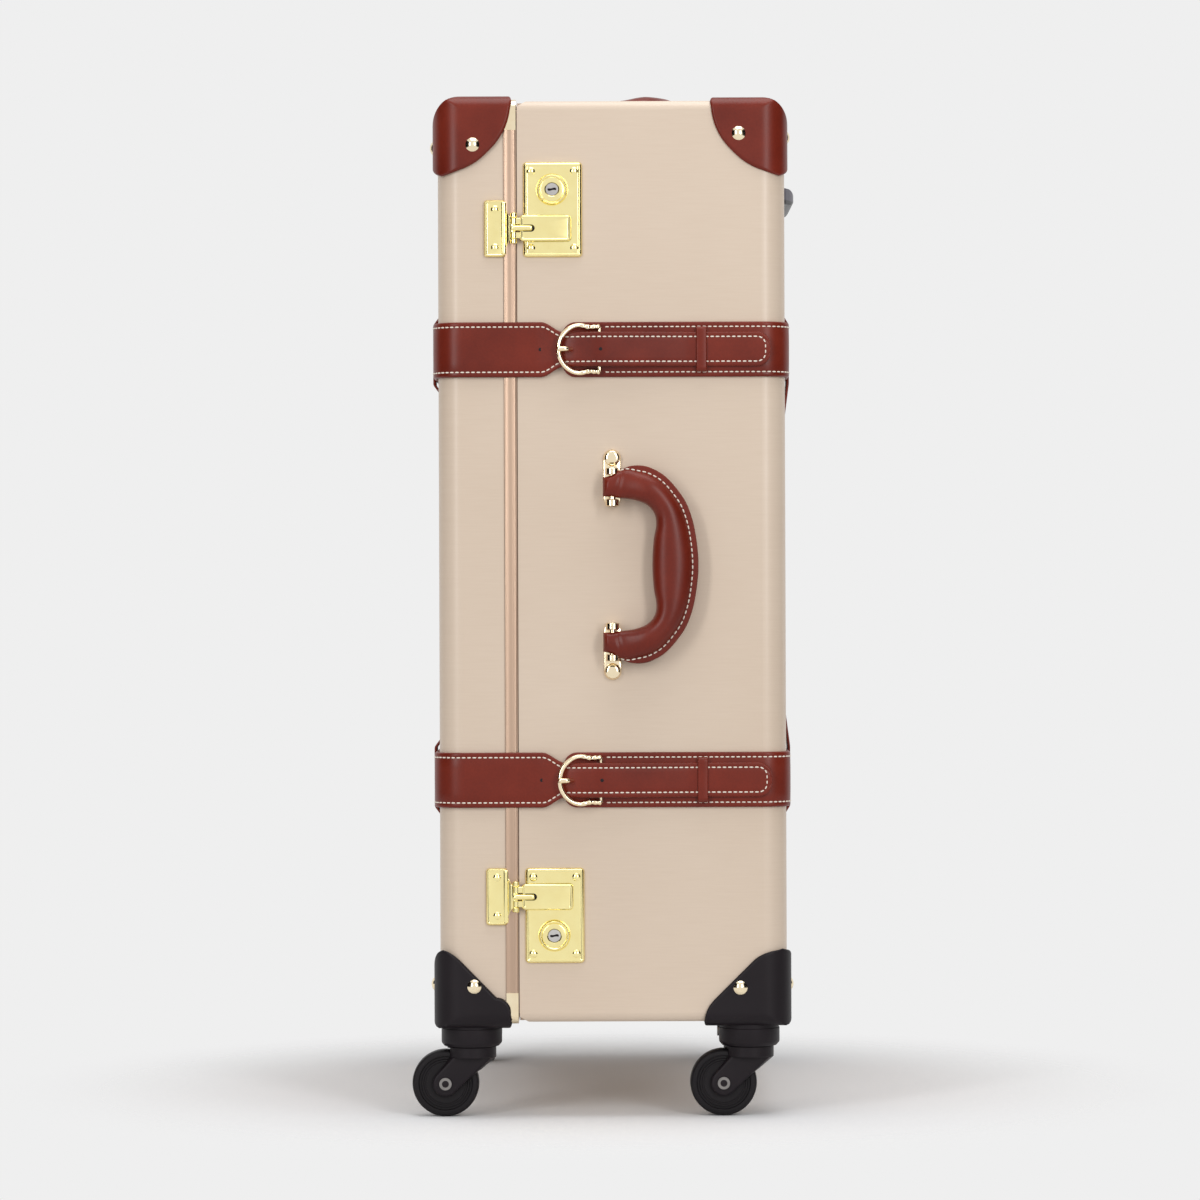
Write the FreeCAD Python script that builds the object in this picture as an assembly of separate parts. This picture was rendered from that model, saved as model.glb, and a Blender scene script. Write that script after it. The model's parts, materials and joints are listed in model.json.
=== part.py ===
import FreeCAD, Part
import functools
import math
import os

# A trunk-style spinner suitcase standing on four casters. X runs through the case's depth, with the
# lid at -X and the back at +X. Y runs across its width, with the locks and the side handle at -Y and
# the hinges at +Y. Z is up and the floor is z = 0. In the text below, n is a distance outwards from
# the case's outer surface.

# Case shells
case_width = 480.0
case_height = 686.0
base_depth = 200.0
lid_depth = 59.0
wall = 5.0
edge_round = 18.0
corner_round = 7.0
least_round = 1.0
seat_gap = 0.15
running_gap = 0.3
rim_notch = 7.0
rim_notch_depth = 4.4
rim_notch_width = 20.0

# Rim of the lid and tongue rail of the base
rim_width = 9.0
rim_sheet = 0.6
rim_web = 1.0
rim_split_gap = 0.8
rail_depth = 5.4
tongue_thickness = 2.0
tongue_length = 3.0
tongue_inset = 1.4
tongue_gap_outer = 0.2
tongue_gap_inner = 0.7
rim_clip_sheet = 0.5
rim_clip_leg = 22.0

# Linings
lining_sheet = 1.5
panel_sheet = 1.5

# Leather corners and black wheel corners
leather_sheet = 2.4
leather_reach = 55.5
leather_drop = 55.0
leather_cut = 32.0
leather_bow = 48.0
housing_sheet = 3.2
housing_edge_round = 4.8
housing_rise = 53.0
housing_top_round = 22.0
lid_housing_reach = 54.0
lid_housing_top_run = 12.5
lid_toe = 9.6
lid_toe_rise = 20.4
lid_toe_round = 9.0
base_housing_reach = 62.2
base_housing_top_run = 20.3
base_toe_rise = 11.5
base_toe_round = 20.0
rivet_head = 5.2
rivet_dome = 2.4
rivet_shank = 1.6
lid_leather_rivet_in = 26.5
lid_leather_rivet_down = 33.0
base_leather_rivet_in = 34.5
base_leather_rivet_down = 25.0
lid_housing_rivet_in = 25.8
lid_housing_rivet_up = 27.0
base_housing_rivet_in = 35.3
base_housing_rivet_up = 25.5

# Casters
wheel_radius = 25.0
wheel_width = 16.0
wheel_edge_round = 3.5
wheel_groove_radius = 17.5
wheel_groove_width = 3.0
wheel_groove_depth = 1.5
wheel_side_gap = 0.6
wheel_top_gap = 1.2
cheek_sheet = 3.6
cheek_hub = 9.6
caster_trail = 19.5
axle_radius = 3.0
axle_head = 4.6
axle_head_height = 1.6
axle_socket = 2.0
neck_radius = 18.3
neck_height = 8.2
neck_roof = 1.3
stem_radius = 8.0
stem_length = 10.5
collar_radius = 22.7
collar_height = 19.2
lid_swivel_inset = 23.0
base_swivel_inset = 28.0
swivel_inset_y = 26.0
shaft_gap = 0.05

# Straps, buckles and loops
strap_width = 41.0
strap_sheet = 3.0
strap_offset = 160.0
fitting_drop = 2.6
tail_sheet = 2.6
tail_width = 25.8
tail_tip_inset = 11.5
tail_full_run = 19.5
tail_taper = 11.0
tail_fold_inset = 1.0
tail_hump_half = 3.0
tail_hump_run = 12.0
base_strap_setback = 33.9
base_strap_end_round = 12.0
buckle_bar_in = 61.5
buckle_bar_radius = 1.5
buckle_length = 30.5
buckle_wire = 1.6
buckle_half_width = 17.0
buckle_knob = 1.7
buckle_lift = 1.2
chape_sheet = 0.9
chape_half_width = 9.0
prong_radius = 1.1
prong_ring = 2.2
prong_half_width = 1.5
prong_rise = 19.0
prong_top = 25.0
prong_overhang = 3.3
prong_slot_room = 3.0
keeper_inset = 62.8
keeper_width = 7.0
keeper_sheet = 1.6
loop_width = 26.0
loop_inset = 70.0
loop_sheet = 1.8
loop_end_sheet = 2.0
loop_long_end = 25.0
loop_short_end = 5.0

# Hinges
hinge_offset = 5.0
hinge_barrel = 3.2
hinge_pin = 1.5
hinge_length = 60.0
hinge_leaf = 18.0
hinge_sheet = 1.2
hinge_spread = 250.0

# Locks
upper_lock_offset = 264.2
lower_lock_offset = 260.7
lock_width = 44.0
lock_height = 70.7
lock_inset = 4.9
lock_sheet = 2.4
lock_border = 2.6
lock_border_height = 0.7
lock_round = 3.0
lock_screw_in = 6.0
lock_screw_down = 6.8
plug_in = 21.6
plug_up = 14.8
plug_radius = 4.85
plug_boss = 11.2
plug_boss_height = 4.2
keyway_length = 6.0
keyway_width = 1.2
hasp_down = 14.0
hasp_pin_inset = 2.0
hasp_neck = 2.0
hasp_length = 38.4
hasp_height = 19.6
hasp_sheet = 2.2
hasp_border_height = 0.6
hasp_pin_radius = 1.0
hasp_barrel = 2.2
hasp_barrel_half = 7.0
hasp_arm = 3.8
staple_length = 4.0
staple_half_width = 3.0
staple_in = 11.0
catch_width = 16.4
catch_height = 42.5
catch_gap = 7.8
catch_screw_spread = 14.2
catch_sheet = 2.0
catch_border = 1.3
screw_head = 3.0
screw_dome = 1.2
screw_shank = 1.4

# Handles
handle_offset = 12.4
handle_thickness = 21.0
handle_end_thickness = 13.6
handle_swell_start = 9.0
handle_swell_end = 26.0
handle_half_span = 73.5
handle_reach = 63.9
handle_inner_reach = 30.0
handle_end_inner = 48.5
handle_end_outer = 66.4
handle_end_back = 7.0
handle_shoulder = 18.0
handle_lug_gap = 1.5
handle_shoulder_round = 12.0
handle_crown = 37.0
handle_crown_round = 26.0
handle_flank = 30.4
handle_flank_round = 90.0
handle_inner_bow = 16.0
handle_edge_round = 6.0
bracket_sheet = 2.2
bracket_half_width = 6.5
bracket_lug = 5.0
bracket_lug_radius = 5.0
bracket_cap = 14.0
bracket_cap_radius = 5.5
bracket_cap_dome = 4.0
handle_pin = 2.5

# Trolley
tube_spacing = 130.0
tube_back_gap = 1.0
outer_tube = 9.5
tube_sheet = 1.0
tube_gap = 0.3
tube_step = 4.0
bay_half_width = 88.0
bay_height = 84.5
bay_sheet = 2.0
bay_front_gap = 2.0
bezel_width = 6.0
bezel_sheet = 1.2
grip_drop = 50.8
grip_height = 12.4
grip_half_length = 78.0
grip_proud = 14.6
grip_end_setback = 10.0
grip_round = 5.2
grip_end_round = 14.0
grip_socket = 4.6
grip_channel = 5.6
bar_height = 2.6
bar_half_width = 2.5
rod_radius = 2.0
rod_stop = 25.0
button_half_length = 16.0
button_depth = 17.5
button_proud = 2.8
button_travel = 2.5
button_round = 4.0
foot_block_socket = 10.0
foot_block_margin = 6.0

# Feet on the hinge side
foot_radius = 12.0
foot_top_radius = 10.0
foot_height = 12.0
foot_inset_back = 35.0
foot_inset_rim = 50.0
foot_offset = 225.0

# How far cutting shapes reach past the case, beyond all of its fittings
far_out = 40.0

# Places worked out from the sizes above
half_width = case_width / 2
wheel_diameter = 2 * wheel_radius
collar_low = wheel_diameter + wheel_top_gap + neck_roof + running_gap
z_bottom = collar_low + collar_height
z_top = z_bottom + case_height
z_fittings = (z_bottom + z_top) / 2 - fitting_drop
x_front = -(base_depth + lid_depth) / 2
x_back = (base_depth + lid_depth) / 2
x_split = x_front + lid_depth
lid_edge = x_split - rim_split_gap / 2
base_edge = x_split + rim_split_gap / 2
rim_out = seat_gap / 3 + rim_sheet
clip_low = rim_out + seat_gap
clip_out = clip_low + rim_clip_sheet
lid_cover_low = clip_out + seat_gap
lid_strap_low = rim_out + seat_gap
lid_strap_out = lid_strap_low + strap_sheet
base_strap_low = seat_gap
base_strap_out = base_strap_low + strap_sheet
tail_low = base_strap_out + seat_gap

tube_x = x_back - wall - tube_back_gap - outer_tube
bay_x = tube_x - outer_tube - bay_front_gap
bay_floor = z_top - bay_height
panel_x = bay_x - bay_sheet - running_gap
mid_tube = outer_tube - tube_sheet - tube_gap
inner_tube = mid_tube - tube_sheet - tube_gap
foot_block_z = z_bottom + wall + seat_gap
tube_z = z_bottom + edge_round
grip_top = z_top - grip_drop
grip_low = grip_top - grip_height
channel_low = grip_low + grip_socket
channel_high = channel_low + grip_channel
bar_high = channel_high - running_gap
button_x = tube_x - bar_half_width + running_gap
swivel_x = (x_front + lid_swivel_inset, x_back - base_swivel_inset)
swivel_y = half_width - swivel_inset_y
hinge_y = half_width + hinge_offset
hinge_heights = [z_fittings - hinge_spread, z_fittings, z_fittings + hinge_spread]
strap_heights = {"upper": z_fittings + strap_offset, "lower": z_fittings - strap_offset}
lock_heights = {"upper": z_fittings + upper_lock_offset, "lower": z_fittings - lower_lock_offset}
lock_flips = {"upper": 1, "lower": -1}
hasp_x = x_split - hasp_pin_inset
hasp_low = seat_gap + lock_sheet + lock_border_height + running_gap
hasp_axis = hasp_low + hasp_sheet / 2
buckle_axis = base_strap_out + chape_sheet + buckle_bar_radius
tail_hump = buckle_axis + buckle_bar_radius + chape_sheet + seat_gap
tail_fold_x = x_split - tail_fold_inset
tail_taper_x = x_split + tail_full_run
tail_neck_x = tail_taper_x + tail_taper
tail_tip_x = x_back - tail_tip_inset
base_strap_end_x = x_split + base_strap_setback
buckle_bar_x = x_split + buckle_bar_in
buckle_bow_x = buckle_bar_x - buckle_length
prong_rise_x = buckle_bar_x - prong_rise
prong_top_x = buckle_bar_x - prong_top
keeper_x = x_back - keeper_inset
lock_start_x = x_split + lock_inset
tail_fold = lid_strap_low + strap_sheet / 2
handle_mid_z = z_fittings

V = FreeCAD.Vector


def box(low, high):
    """A block between two opposite corners."""
    return Part.makeBox(high[0] - low[0], high[1] - low[1], high[2] - low[2], V(*low))


def rod(radius, start, direction, length):
    """A round bar from a start point along a direction."""
    return Part.makeCylinder(radius, length, V(*start), V(*direction))


def join(shapes):
    """Several touching or crossing solids as one clean solid."""
    first, *others = shapes
    return first.fuse(others).removeSplitter() if others else first


def on_side(level):
    """Puts outline points (u, v) in the plane y = level as x and z."""
    return lambda u, v: V(u, level, v)


def on_plan(level):
    """Puts outline points (u, v) in the plane z = level as x and y."""
    return lambda u, v: V(u, v, level)


def on_front(level):
    """Puts outline points (u, v) in the plane x = level as y and z."""
    return lambda u, v: V(level, u, v)


def outline(corners, place):
    """A closed wire through corners (u, v, radius), each corner rounded by its own radius."""
    count = len(corners)
    stops = []
    for i, (u, v, radius) in enumerate(corners):
        corner = V(u, v, 0)
        back = (V(*corners[i - 1][:2], 0) - corner).normalize()
        ahead = (V(*corners[(i + 1) % count][:2], 0) - corner).normalize()
        half = back.getAngle(ahead) / 2
        setback = radius / math.tan(half)
        bow = (back + ahead).normalize() * (radius / math.sin(half) - radius)
        stops.append((corner + back * setback, corner + bow, corner + ahead * setback, radius))
    edges = []
    for i, (start, middle, end, radius) in enumerate(stops):
        before = stops[i - 1][2]
        if before.distanceToPoint(start) > 1e-6:
            line = place(before.x, before.y), place(start.x, start.y)
            edges.append(Part.LineSegment(*line).toShape())
        if radius > 0:
            bend = [place(p.x, p.y) for p in (start, middle, end)]
            edges.append(Part.Arc(*bend).toShape())
    return Part.Wire(edges)


def prism(corners, place, sweep):
    """The rounded outline through the corners, swept straight along a vector."""
    return Part.Face(outline(corners, place)).extrude(V(*sweep))


def rectangle(u0, u1, v0, v1, radius):
    """Corners of a rectangle whose four corners share one radius."""
    return [(u0, v0, radius), (u1, v0, radius), (u1, v1, radius), (u0, v1, radius)]


@functools.lru_cache(maxsize=None)
def case_block(n, side_round=None):
    """The closed case grown outwards by n: its side, plan and front outlines taken together. Its side
    outline has the case's own rounding unless another is given."""
    x0, x1 = x_front - n, x_back + n
    y1 = half_width + n
    z0, z1 = z_bottom - n, z_top + n
    edge = edge_round + n
    corner = max(corner_round + n, least_round)
    side = prism(rectangle(x0, x1, z0, z1, side_round or edge), on_side(-y1), (0, 2 * y1, 0))
    plan = prism(rectangle(x0, x1, -y1, y1, edge), on_plan(z0), (0, 0, z1 - z0))
    front = prism(rectangle(-y1, y1, z0, z1, corner), on_front(x0), (x1 - x0, 0, 0))
    return side.common(plan).common(front)


@functools.lru_cache(maxsize=None)
def skin(low, out, side_round=None):
    """A layer all round the case between two distances from its surface."""
    return case_block(out, side_round).cut(case_block(low))


def ring(low, out, x0, x1):
    """A band round the case between two distances from its surface, from x0 to x1."""

    def slab(n):
        y1 = half_width + n
        corners = rectangle(-y1, y1, z_bottom - n, z_top + n, max(corner_round + n, least_round))
        return prism(corners, on_front(x0), (x1 - x0, 0, 0))

    return slab(out).cut(slab(low))


def between_x(x0, x1):
    """All of the space between two planes across X."""
    reach = half_width + far_out
    return box((x0, -reach, z_bottom - far_out), (x1, reach, z_top + far_out))


def domed_pin(point, out, head, dome, shank, depth):
    """A fastener whose domed head stands on a point and whose shank goes back into the wall."""
    point, out = V(*point), V(*out)
    ball = (head**2 + dome**2) / (2 * dome)
    low_angle = math.degrees(math.asin((ball - dome) / ball))
    cap = Part.makeSphere(ball, point - out * (ball - dome), out, low_angle, 90, 360)
    return join([cap, Part.makeCylinder(shank, depth, point, -out)])


def pin_hole(point, out, shank, depth):
    """Room for a fastener's shank."""
    point, out = V(*point), V(*out)
    return Part.makeCylinder(shank + shaft_gap, depth + seat_gap, point, -out)


def corner_room(profile, sign_x, sign_y, sign_z):
    """Space of one corner cover: its profile seen from the side and again from the front."""
    x_plane = x_front if sign_x < 0 else x_back
    z_plane = z_top if sign_z > 0 else z_bottom
    side = [(x_plane - sign_x * u, z_plane - sign_z * v, r) for u, v, r in profile]
    front = [(sign_y * (half_width - u), z_plane - sign_z * v, r) for u, v, r in profile]
    reach = half_width + far_out
    depth = x_back + far_out
    across = prism(side, on_side(-reach), (0, 2 * reach, 0))
    return across.common(prism(front, on_front(-depth), (2 * depth, 0, 0)))


leather_profile = [
    (-far_out, -far_out, 0),
    (leather_reach, -far_out, 0),
    (leather_reach, leather_drop - leather_cut, leather_bow),
    (leather_reach - leather_cut, leather_drop, leather_bow),
    (-far_out, leather_drop, 0),
]
lid_housing_profile = [
    (-far_out, -far_out, 0),
    (lid_housing_reach, -far_out, 0),
    (lid_housing_reach, lid_toe_rise, lid_toe_round),
    (lid_housing_reach - lid_toe, lid_toe_rise, 0),
    (lid_housing_top_run, housing_rise, housing_top_round),
    (-far_out, housing_rise, 0),
]
base_housing_profile = [
    (-far_out, -far_out, 0),
    (base_housing_reach, -far_out, 0),
    (base_housing_reach, base_toe_rise, base_toe_round),
    (base_housing_top_run, housing_rise, housing_top_round),
    (-far_out, housing_rise, 0),
]


def covers(profile, low, out, sign_x, sign_z, side_round=None):
    """The two corner covers of one end of a shell, on the lock side and on the hinge side."""
    layer = skin(low, out, side_round)
    return [layer.common(corner_room(profile, sign_x, sign_y, sign_z)) for sign_y in (-1, 1)]


def cover_pins(out, sign_x, sign_z, inset, rise):
    """Where the rivets of two corner covers stand: one on each side face, one on the front or back."""
    x_plane = x_front if sign_x < 0 else x_back
    z = (z_top if sign_z > 0 else z_bottom) - sign_z * rise
    places = []
    for sign_y in (-1, 1):
        places.append(((x_plane - sign_x * inset, sign_y * (half_width + out), z), (0, sign_y, 0)))
        places.append(((x_plane + sign_x * out, sign_y * (half_width - inset), z), (sign_x, 0, 0)))
    return places


def shell_trim(sign_x, low, housing_profile, leather_rivet, housing_rivet):
    """Leather corners, wheel corners and rivets of one shell, and the rivet holes."""
    leather_out = low + leather_sheet
    housing_out = low + housing_sheet
    leathers = covers(leather_profile, low, leather_out, sign_x, 1)
    housings = covers(housing_profile, low, housing_out, sign_x, -1, housing_edge_round)
    pins = cover_pins(leather_out, sign_x, 1, *leather_rivet)
    pins_low = cover_pins(housing_out, sign_x, -1, *housing_rivet)
    rivets, holes = [], []
    for places, out in ((pins, leather_out), (pins_low, housing_out)):
        depth = out + wall - seat_gap
        for point, way in places:
            rivets.append(domed_pin(point, way, rivet_head, rivet_dome, rivet_shank, depth))
            holes.append(pin_hole(point, way, rivet_shank, depth))
    leathers = [leather.cut(holes) for leather in leathers]
    x = swivel_x[0] if sign_x < 0 else swivel_x[1]
    for i, sign_y in enumerate((-1, 1)):
        y = sign_y * swivel_y
        plate_low = z_bottom - low
        collar = rod(collar_radius, (x, y, collar_low), (0, 0, 1), plate_low - collar_low)
        bore_depth = stem_length + running_gap
        bore = rod(stem_radius + shaft_gap, (x, y, collar_low), (0, 0, 1), bore_depth)
        housings[i] = join([housings[i].cut(holes), collar]).cut(bore)
    return leathers, housings, rivets, holes


def caster(sign_x, sign_y, turn):
    """Fork, axle and wheel of one caster, trailing to -X before it is turned about its stem."""
    axle = V(-caster_trail, 0, wheel_radius)
    neck_high = collar_low - running_gap
    neck_low = neck_high - neck_height
    half_fork = wheel_width / 2 + wheel_side_gap + cheek_sheet

    def tangent(x, side):
        """The point of the hub's rim where a line from the neck's edge touches it."""
        gap = V(x, 0, neck_low) - axle
        angle = math.atan2(gap.z, gap.x) + side * math.acos(cheek_hub / gap.Length)
        return axle.x + cheek_hub * math.cos(angle), axle.z + cheek_hub * math.sin(angle), 0

    corners = [
        (-neck_radius, neck_high, 0),
        (neck_radius, neck_high, 0),
        (neck_radius, neck_low, 0),
        tangent(neck_radius, -1),
        (axle.x, axle.z, 0),
        tangent(-neck_radius, 1),
        (-neck_radius, neck_low, 0),
    ]
    arm = prism(corners, on_side(-half_fork), (0, 2 * half_fork, 0))
    tall = rod(neck_radius, (0, 0, 0), (0, 0, 1), neck_high)
    neck = rod(neck_radius, (0, 0, neck_low), (0, 0, 1), neck_height)
    below = box((-far_out, -far_out, 0), (far_out, far_out, neck_low))
    arm = arm.common(tall.fuse(below))
    hub = rod(cheek_hub, (axle.x, -half_fork, axle.z), (0, 1, 0), 2 * half_fork)
    stem = rod(stem_radius, (0, 0, neck_high), (0, 0, 1), stem_length)
    room_half = wheel_width / 2 + wheel_side_gap
    room_start = (axle.x, -room_half, axle.z)
    room = rod(wheel_radius + wheel_top_gap, room_start, (0, 1, 0), 2 * room_half)
    pin_start = (axle.x, -half_fork, axle.z)
    pin = rod(axle_radius, pin_start, (0, 1, 0), 2 * half_fork)
    fork = join([arm, neck, hub, stem]).cut([room, pin])

    head_start = (axle.x, -half_fork - axle_head_height, axle.z)
    heads = [rod(axle_head, head_start, (0, 1, 0), axle_head_height)]
    heads.append(rod(axle_head, (axle.x, half_fork, axle.z), (0, 1, 0), axle_head_height))
    socket = rod(axle_socket, head_start, (0, 1, 0), axle_head_height)
    axle_screw = join([pin] + heads).cut(socket)

    side = wheel_width / 2
    floor = side - wheel_groove_depth
    inner, outer = wheel_groove_radius, wheel_groove_radius + wheel_groove_width
    bore = axle_radius + shaft_gap
    half = [(bore, side, 0), (inner, side, 0), (inner, floor, 0), (outer, floor, 0), (outer, side, 0)]
    half.append((wheel_radius, side, wheel_edge_round))
    section = half + [(r, -y, bend) for r, y, bend in reversed(half)]
    wheel = Part.Face(outline(section, on_plan(0))).revolve(V(0, 0, 0), V(0, 1, 0), 360)
    wheel.translate(axle)

    x = swivel_x[0] if sign_x < 0 else swivel_x[1]
    pieces = [fork, axle_screw, wheel]
    for piece in pieces:
        piece.rotate(V(0, 0, 0), V(0, 0, 1), turn)
        piece.translate(V(x, sign_y * swivel_y, 0))
    return pieces


def lid_rim():
    """The lid's metal edge: a flange outside the wall, a web over its end and a grooved inner rail."""
    rail_out = -wall - seat_gap
    rail_in = rail_out - rail_depth
    groove_out = rail_out - tongue_inset + tongue_gap_outer
    groove_in = rail_out - tongue_inset - tongue_thickness - tongue_gap_inner
    flange = ring(seat_gap / 3, rim_out, lid_edge - rim_width, lid_edge)
    web = ring(rail_in, rim_out, lid_edge - rim_web, lid_edge)
    rail = ring(rail_in, rail_out, lid_edge - rim_width, lid_edge)
    groove = ring(groove_in, groove_out, lid_edge - tongue_length - rim_web, lid_edge)
    return join([flange, web, rail]).cut(groove)


def base_rim():
    """The base's inner rail with the tongue that enters the lid's groove."""
    rail_out = -wall - seat_gap
    tongue_out = rail_out - tongue_inset
    rail = ring(rail_out - rail_depth, rail_out, base_edge, base_edge + rim_width)
    tongue = ring(tongue_out - tongue_thickness, tongue_out, base_edge - tongue_length, base_edge + rim_web)
    return join([rail, tongue])


def rim_clips():
    """Sheet clips bent round the four corners of the lid's rim."""
    band = ring(clip_low, clip_out, lid_edge - rim_width, lid_edge)
    clips = []
    for sign_y in (-1, 1):
        ys = sorted((sign_y * (half_width - rim_clip_leg), sign_y * (half_width + far_out)))
        low_end = box((x_front, ys[0], z_bottom - far_out), (x_back, ys[1], z_bottom + rim_clip_leg))
        high_end = box((x_front, ys[0], z_top - rim_clip_leg), (x_back, ys[1], z_top + far_out))
        clips += [band.common(low_end), band.common(high_end)]
    return clips


def rim_notches():
    """Bevels that the base's edge has at its four rim corners."""
    cuts = []
    for z, inward in ((z_bottom, 1), (z_top, -1)):
        corners = [
            (base_edge - far_out, z - inward * far_out, 0),
            (base_edge - far_out, z + inward * rim_notch_depth, 0),
            (base_edge, z + inward * rim_notch_depth, 0),
            (base_edge + rim_notch, z, 0),
            (base_edge + rim_notch, z - inward * far_out, 0),
        ]
        for y in (-half_width, half_width - rim_notch_width):
            cuts.append(prism(corners, on_side(y), (0, rim_notch_width, 0)))
    return cuts


def bay_box(grow):
    """The room of the trolley bay, open to the back and the top."""
    low = (bay_x - grow, -bay_half_width - grow, bay_floor - grow)
    return box(low, (x_back + far_out, bay_half_width + grow, z_top + far_out))


def trolley_bay():
    """The black bay let into the top back edge, with a bezel on the case and holes for the tubes."""
    body = case_block(bezel_sheet).common(bay_box(bay_sheet))
    bezel = skin(seat_gap, bezel_sheet).common(bay_box(bezel_width))
    bay = join([body, bezel]).cut(bay_box(0))
    holes = []
    for y in (-tube_spacing / 2, tube_spacing / 2):
        holes.append(rod(outer_tube + shaft_gap, (tube_x, y, bay_floor - far_out), (0, 0, 1), far_out))
    return bay.cut(holes)


def tube_pair(radius, low, high):
    """Two upright tubes of one trolley stage."""
    tubes = []
    for y in (-tube_spacing / 2, tube_spacing / 2):
        tube = rod(radius, (tube_x, y, low), (0, 0, 1), high - low)
        bore = rod(radius - tube_sheet, (tube_x, y, low), (0, 0, 1), high - low)
        tubes.append(tube.cut(bore))
    return tubes


def trolley_foot():
    """The block on the case's floor that holds the lower ends of the outer tubes."""
    reach = tube_spacing / 2 + outer_tube + foot_block_margin
    low = (tube_x - outer_tube - bay_front_gap, -reach, foot_block_z)
    block = box(low, (x_back, reach, tube_z + foot_block_socket))
    sockets = []
    for y in (-tube_spacing / 2, tube_spacing / 2):
        sockets.append(rod(outer_tube + shaft_gap, (tube_x, y, tube_z), (0, 0, 1), foot_block_socket))
    return case_block(-wall - seat_gap).common(block).cut(sockets)


def trolley_grip():
    """The grip bar: a bowed plan and a rounded section, with tube sockets, channel and button pocket."""
    x0, x1 = bay_x + bay_front_gap, x_back + grip_proud
    end = grip_half_length
    bend = end - 2 * grip_end_round
    corners = [
        (x0, -end, grip_round / 2),
        (x1 - grip_end_setback, -end, grip_end_round),
        (x1, -bend, end),
        (x1, bend, end),
        (x1 - grip_end_setback, end, grip_end_round),
        (x0, end, grip_round / 2),
    ]
    bar = prism(corners, on_plan(grip_low), (0, 0, grip_height))
    section = rectangle(x0, x1, grip_low, grip_top, grip_round)
    bar = bar.common(prism(section, on_side(-end), (0, 2 * end, 0)))
    half = bar_half_width + running_gap
    reach = tube_spacing / 2 + half
    cuts = [box((tube_x - half, -reach, channel_low), (tube_x + half, reach, channel_high))]
    pocket_low = bar_high - button_travel - running_gap
    pocket = (button_x - running_gap, button_x + button_depth + running_gap)
    pocket_half = button_half_length + running_gap
    corners = rectangle(pocket[0], pocket[1], -pocket_half, pocket_half, button_round)
    cuts.append(prism(corners, on_plan(pocket_low), (0, 0, grip_height)))
    for y in (-tube_spacing / 2, tube_spacing / 2):
        cuts.append(rod(inner_tube + shaft_gap, (tube_x, y, grip_low), (0, 0, 1), grip_socket))
    return bar.cut(cuts)


def trolley_button():
    """The push button that stands on the release bar."""
    x0, x1 = button_x, button_x + button_depth
    corners = rectangle(x0, x1, -button_half_length, button_half_length, button_round)
    return prism(corners, on_plan(bar_high), (0, 0, grip_top + button_proud - bar_high))


def release_rods():
    """The bar inside the grip with the two rods that reach down the inner tubes."""
    reach = tube_spacing / 2 + bar_half_width
    low = (tube_x - bar_half_width, -reach, bar_high - bar_height)
    pieces = [box(low, (tube_x + bar_half_width, reach, bar_high))]
    rod_low = tube_z + 2 * tube_step + rod_stop
    for y in (-tube_spacing / 2, tube_spacing / 2):
        pieces.append(rod(rod_radius, (tube_x, y, rod_low), (0, 0, 1), bar_high - rod_low))
    return join(pieces)


def strap_bands(low, out, x0, x1):
    """Both straps as bands round the case between two distances from it, from x0 to x1."""
    bands = {}
    for name, z in strap_heights.items():
        reach = half_width + far_out
        slab = box((x0, -reach, z - strap_width / 2), (x1, reach, z + strap_width / 2))
        bands[name] = skin(low, out).common(slab)
    return bands


def base_straps():
    """Straps round the base, each with a rounded end on the lock side and loops for a buckle bar."""
    straps = []
    bands = strap_bands(base_strap_low, base_strap_out, base_edge, x_back + far_out)
    for name, band in bands.items():
        z = strap_heights[name]
        half = strap_width / 2
        corners = [
            (base_strap_end_x, z - half, base_strap_end_round),
            (x_back + far_out, z - half, 0),
            (x_back + far_out, z + half, 0),
            (base_strap_end_x, z + half, base_strap_end_round),
        ]
        reach = half_width + far_out
        lock_side = prism(corners, on_side(-reach), (0, reach, 0))
        hinge_side = box((x_split, 0, z - half), (x_back + far_out, reach, z + half))
        strap = band.common(lock_side.fuse(hinge_side))
        axis = -half_width - buckle_axis
        chape = buckle_bar_radius + chape_sheet
        pieces = [strap]
        for z0 in (z - chape_half_width, z + prong_half_width + running_gap):
            length = chape_half_width - prong_half_width - running_gap
            pieces.append(rod(chape, (buckle_bar_x, axis, z0), (0, 0, 1), length))
            low = (buckle_bar_x - chape, axis, z0)
            pieces.append(box(low, (buckle_bar_x + chape, -half_width - base_strap_out, z0 + length)))
        bar = rod(buckle_bar_radius + shaft_gap, (buckle_bar_x, axis, z - half), (0, 0, 1), 2 * half)
        straps.append(join(pieces).cut(bar))
    return straps


def lid_straps():
    """Straps round the lid, ending at the fold of their tails and at the hinge."""
    end = tail_fold_x - strap_sheet / 2 - seat_gap
    return list(strap_bands(lid_strap_low, lid_strap_out, x_front - far_out, end).values())


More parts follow.
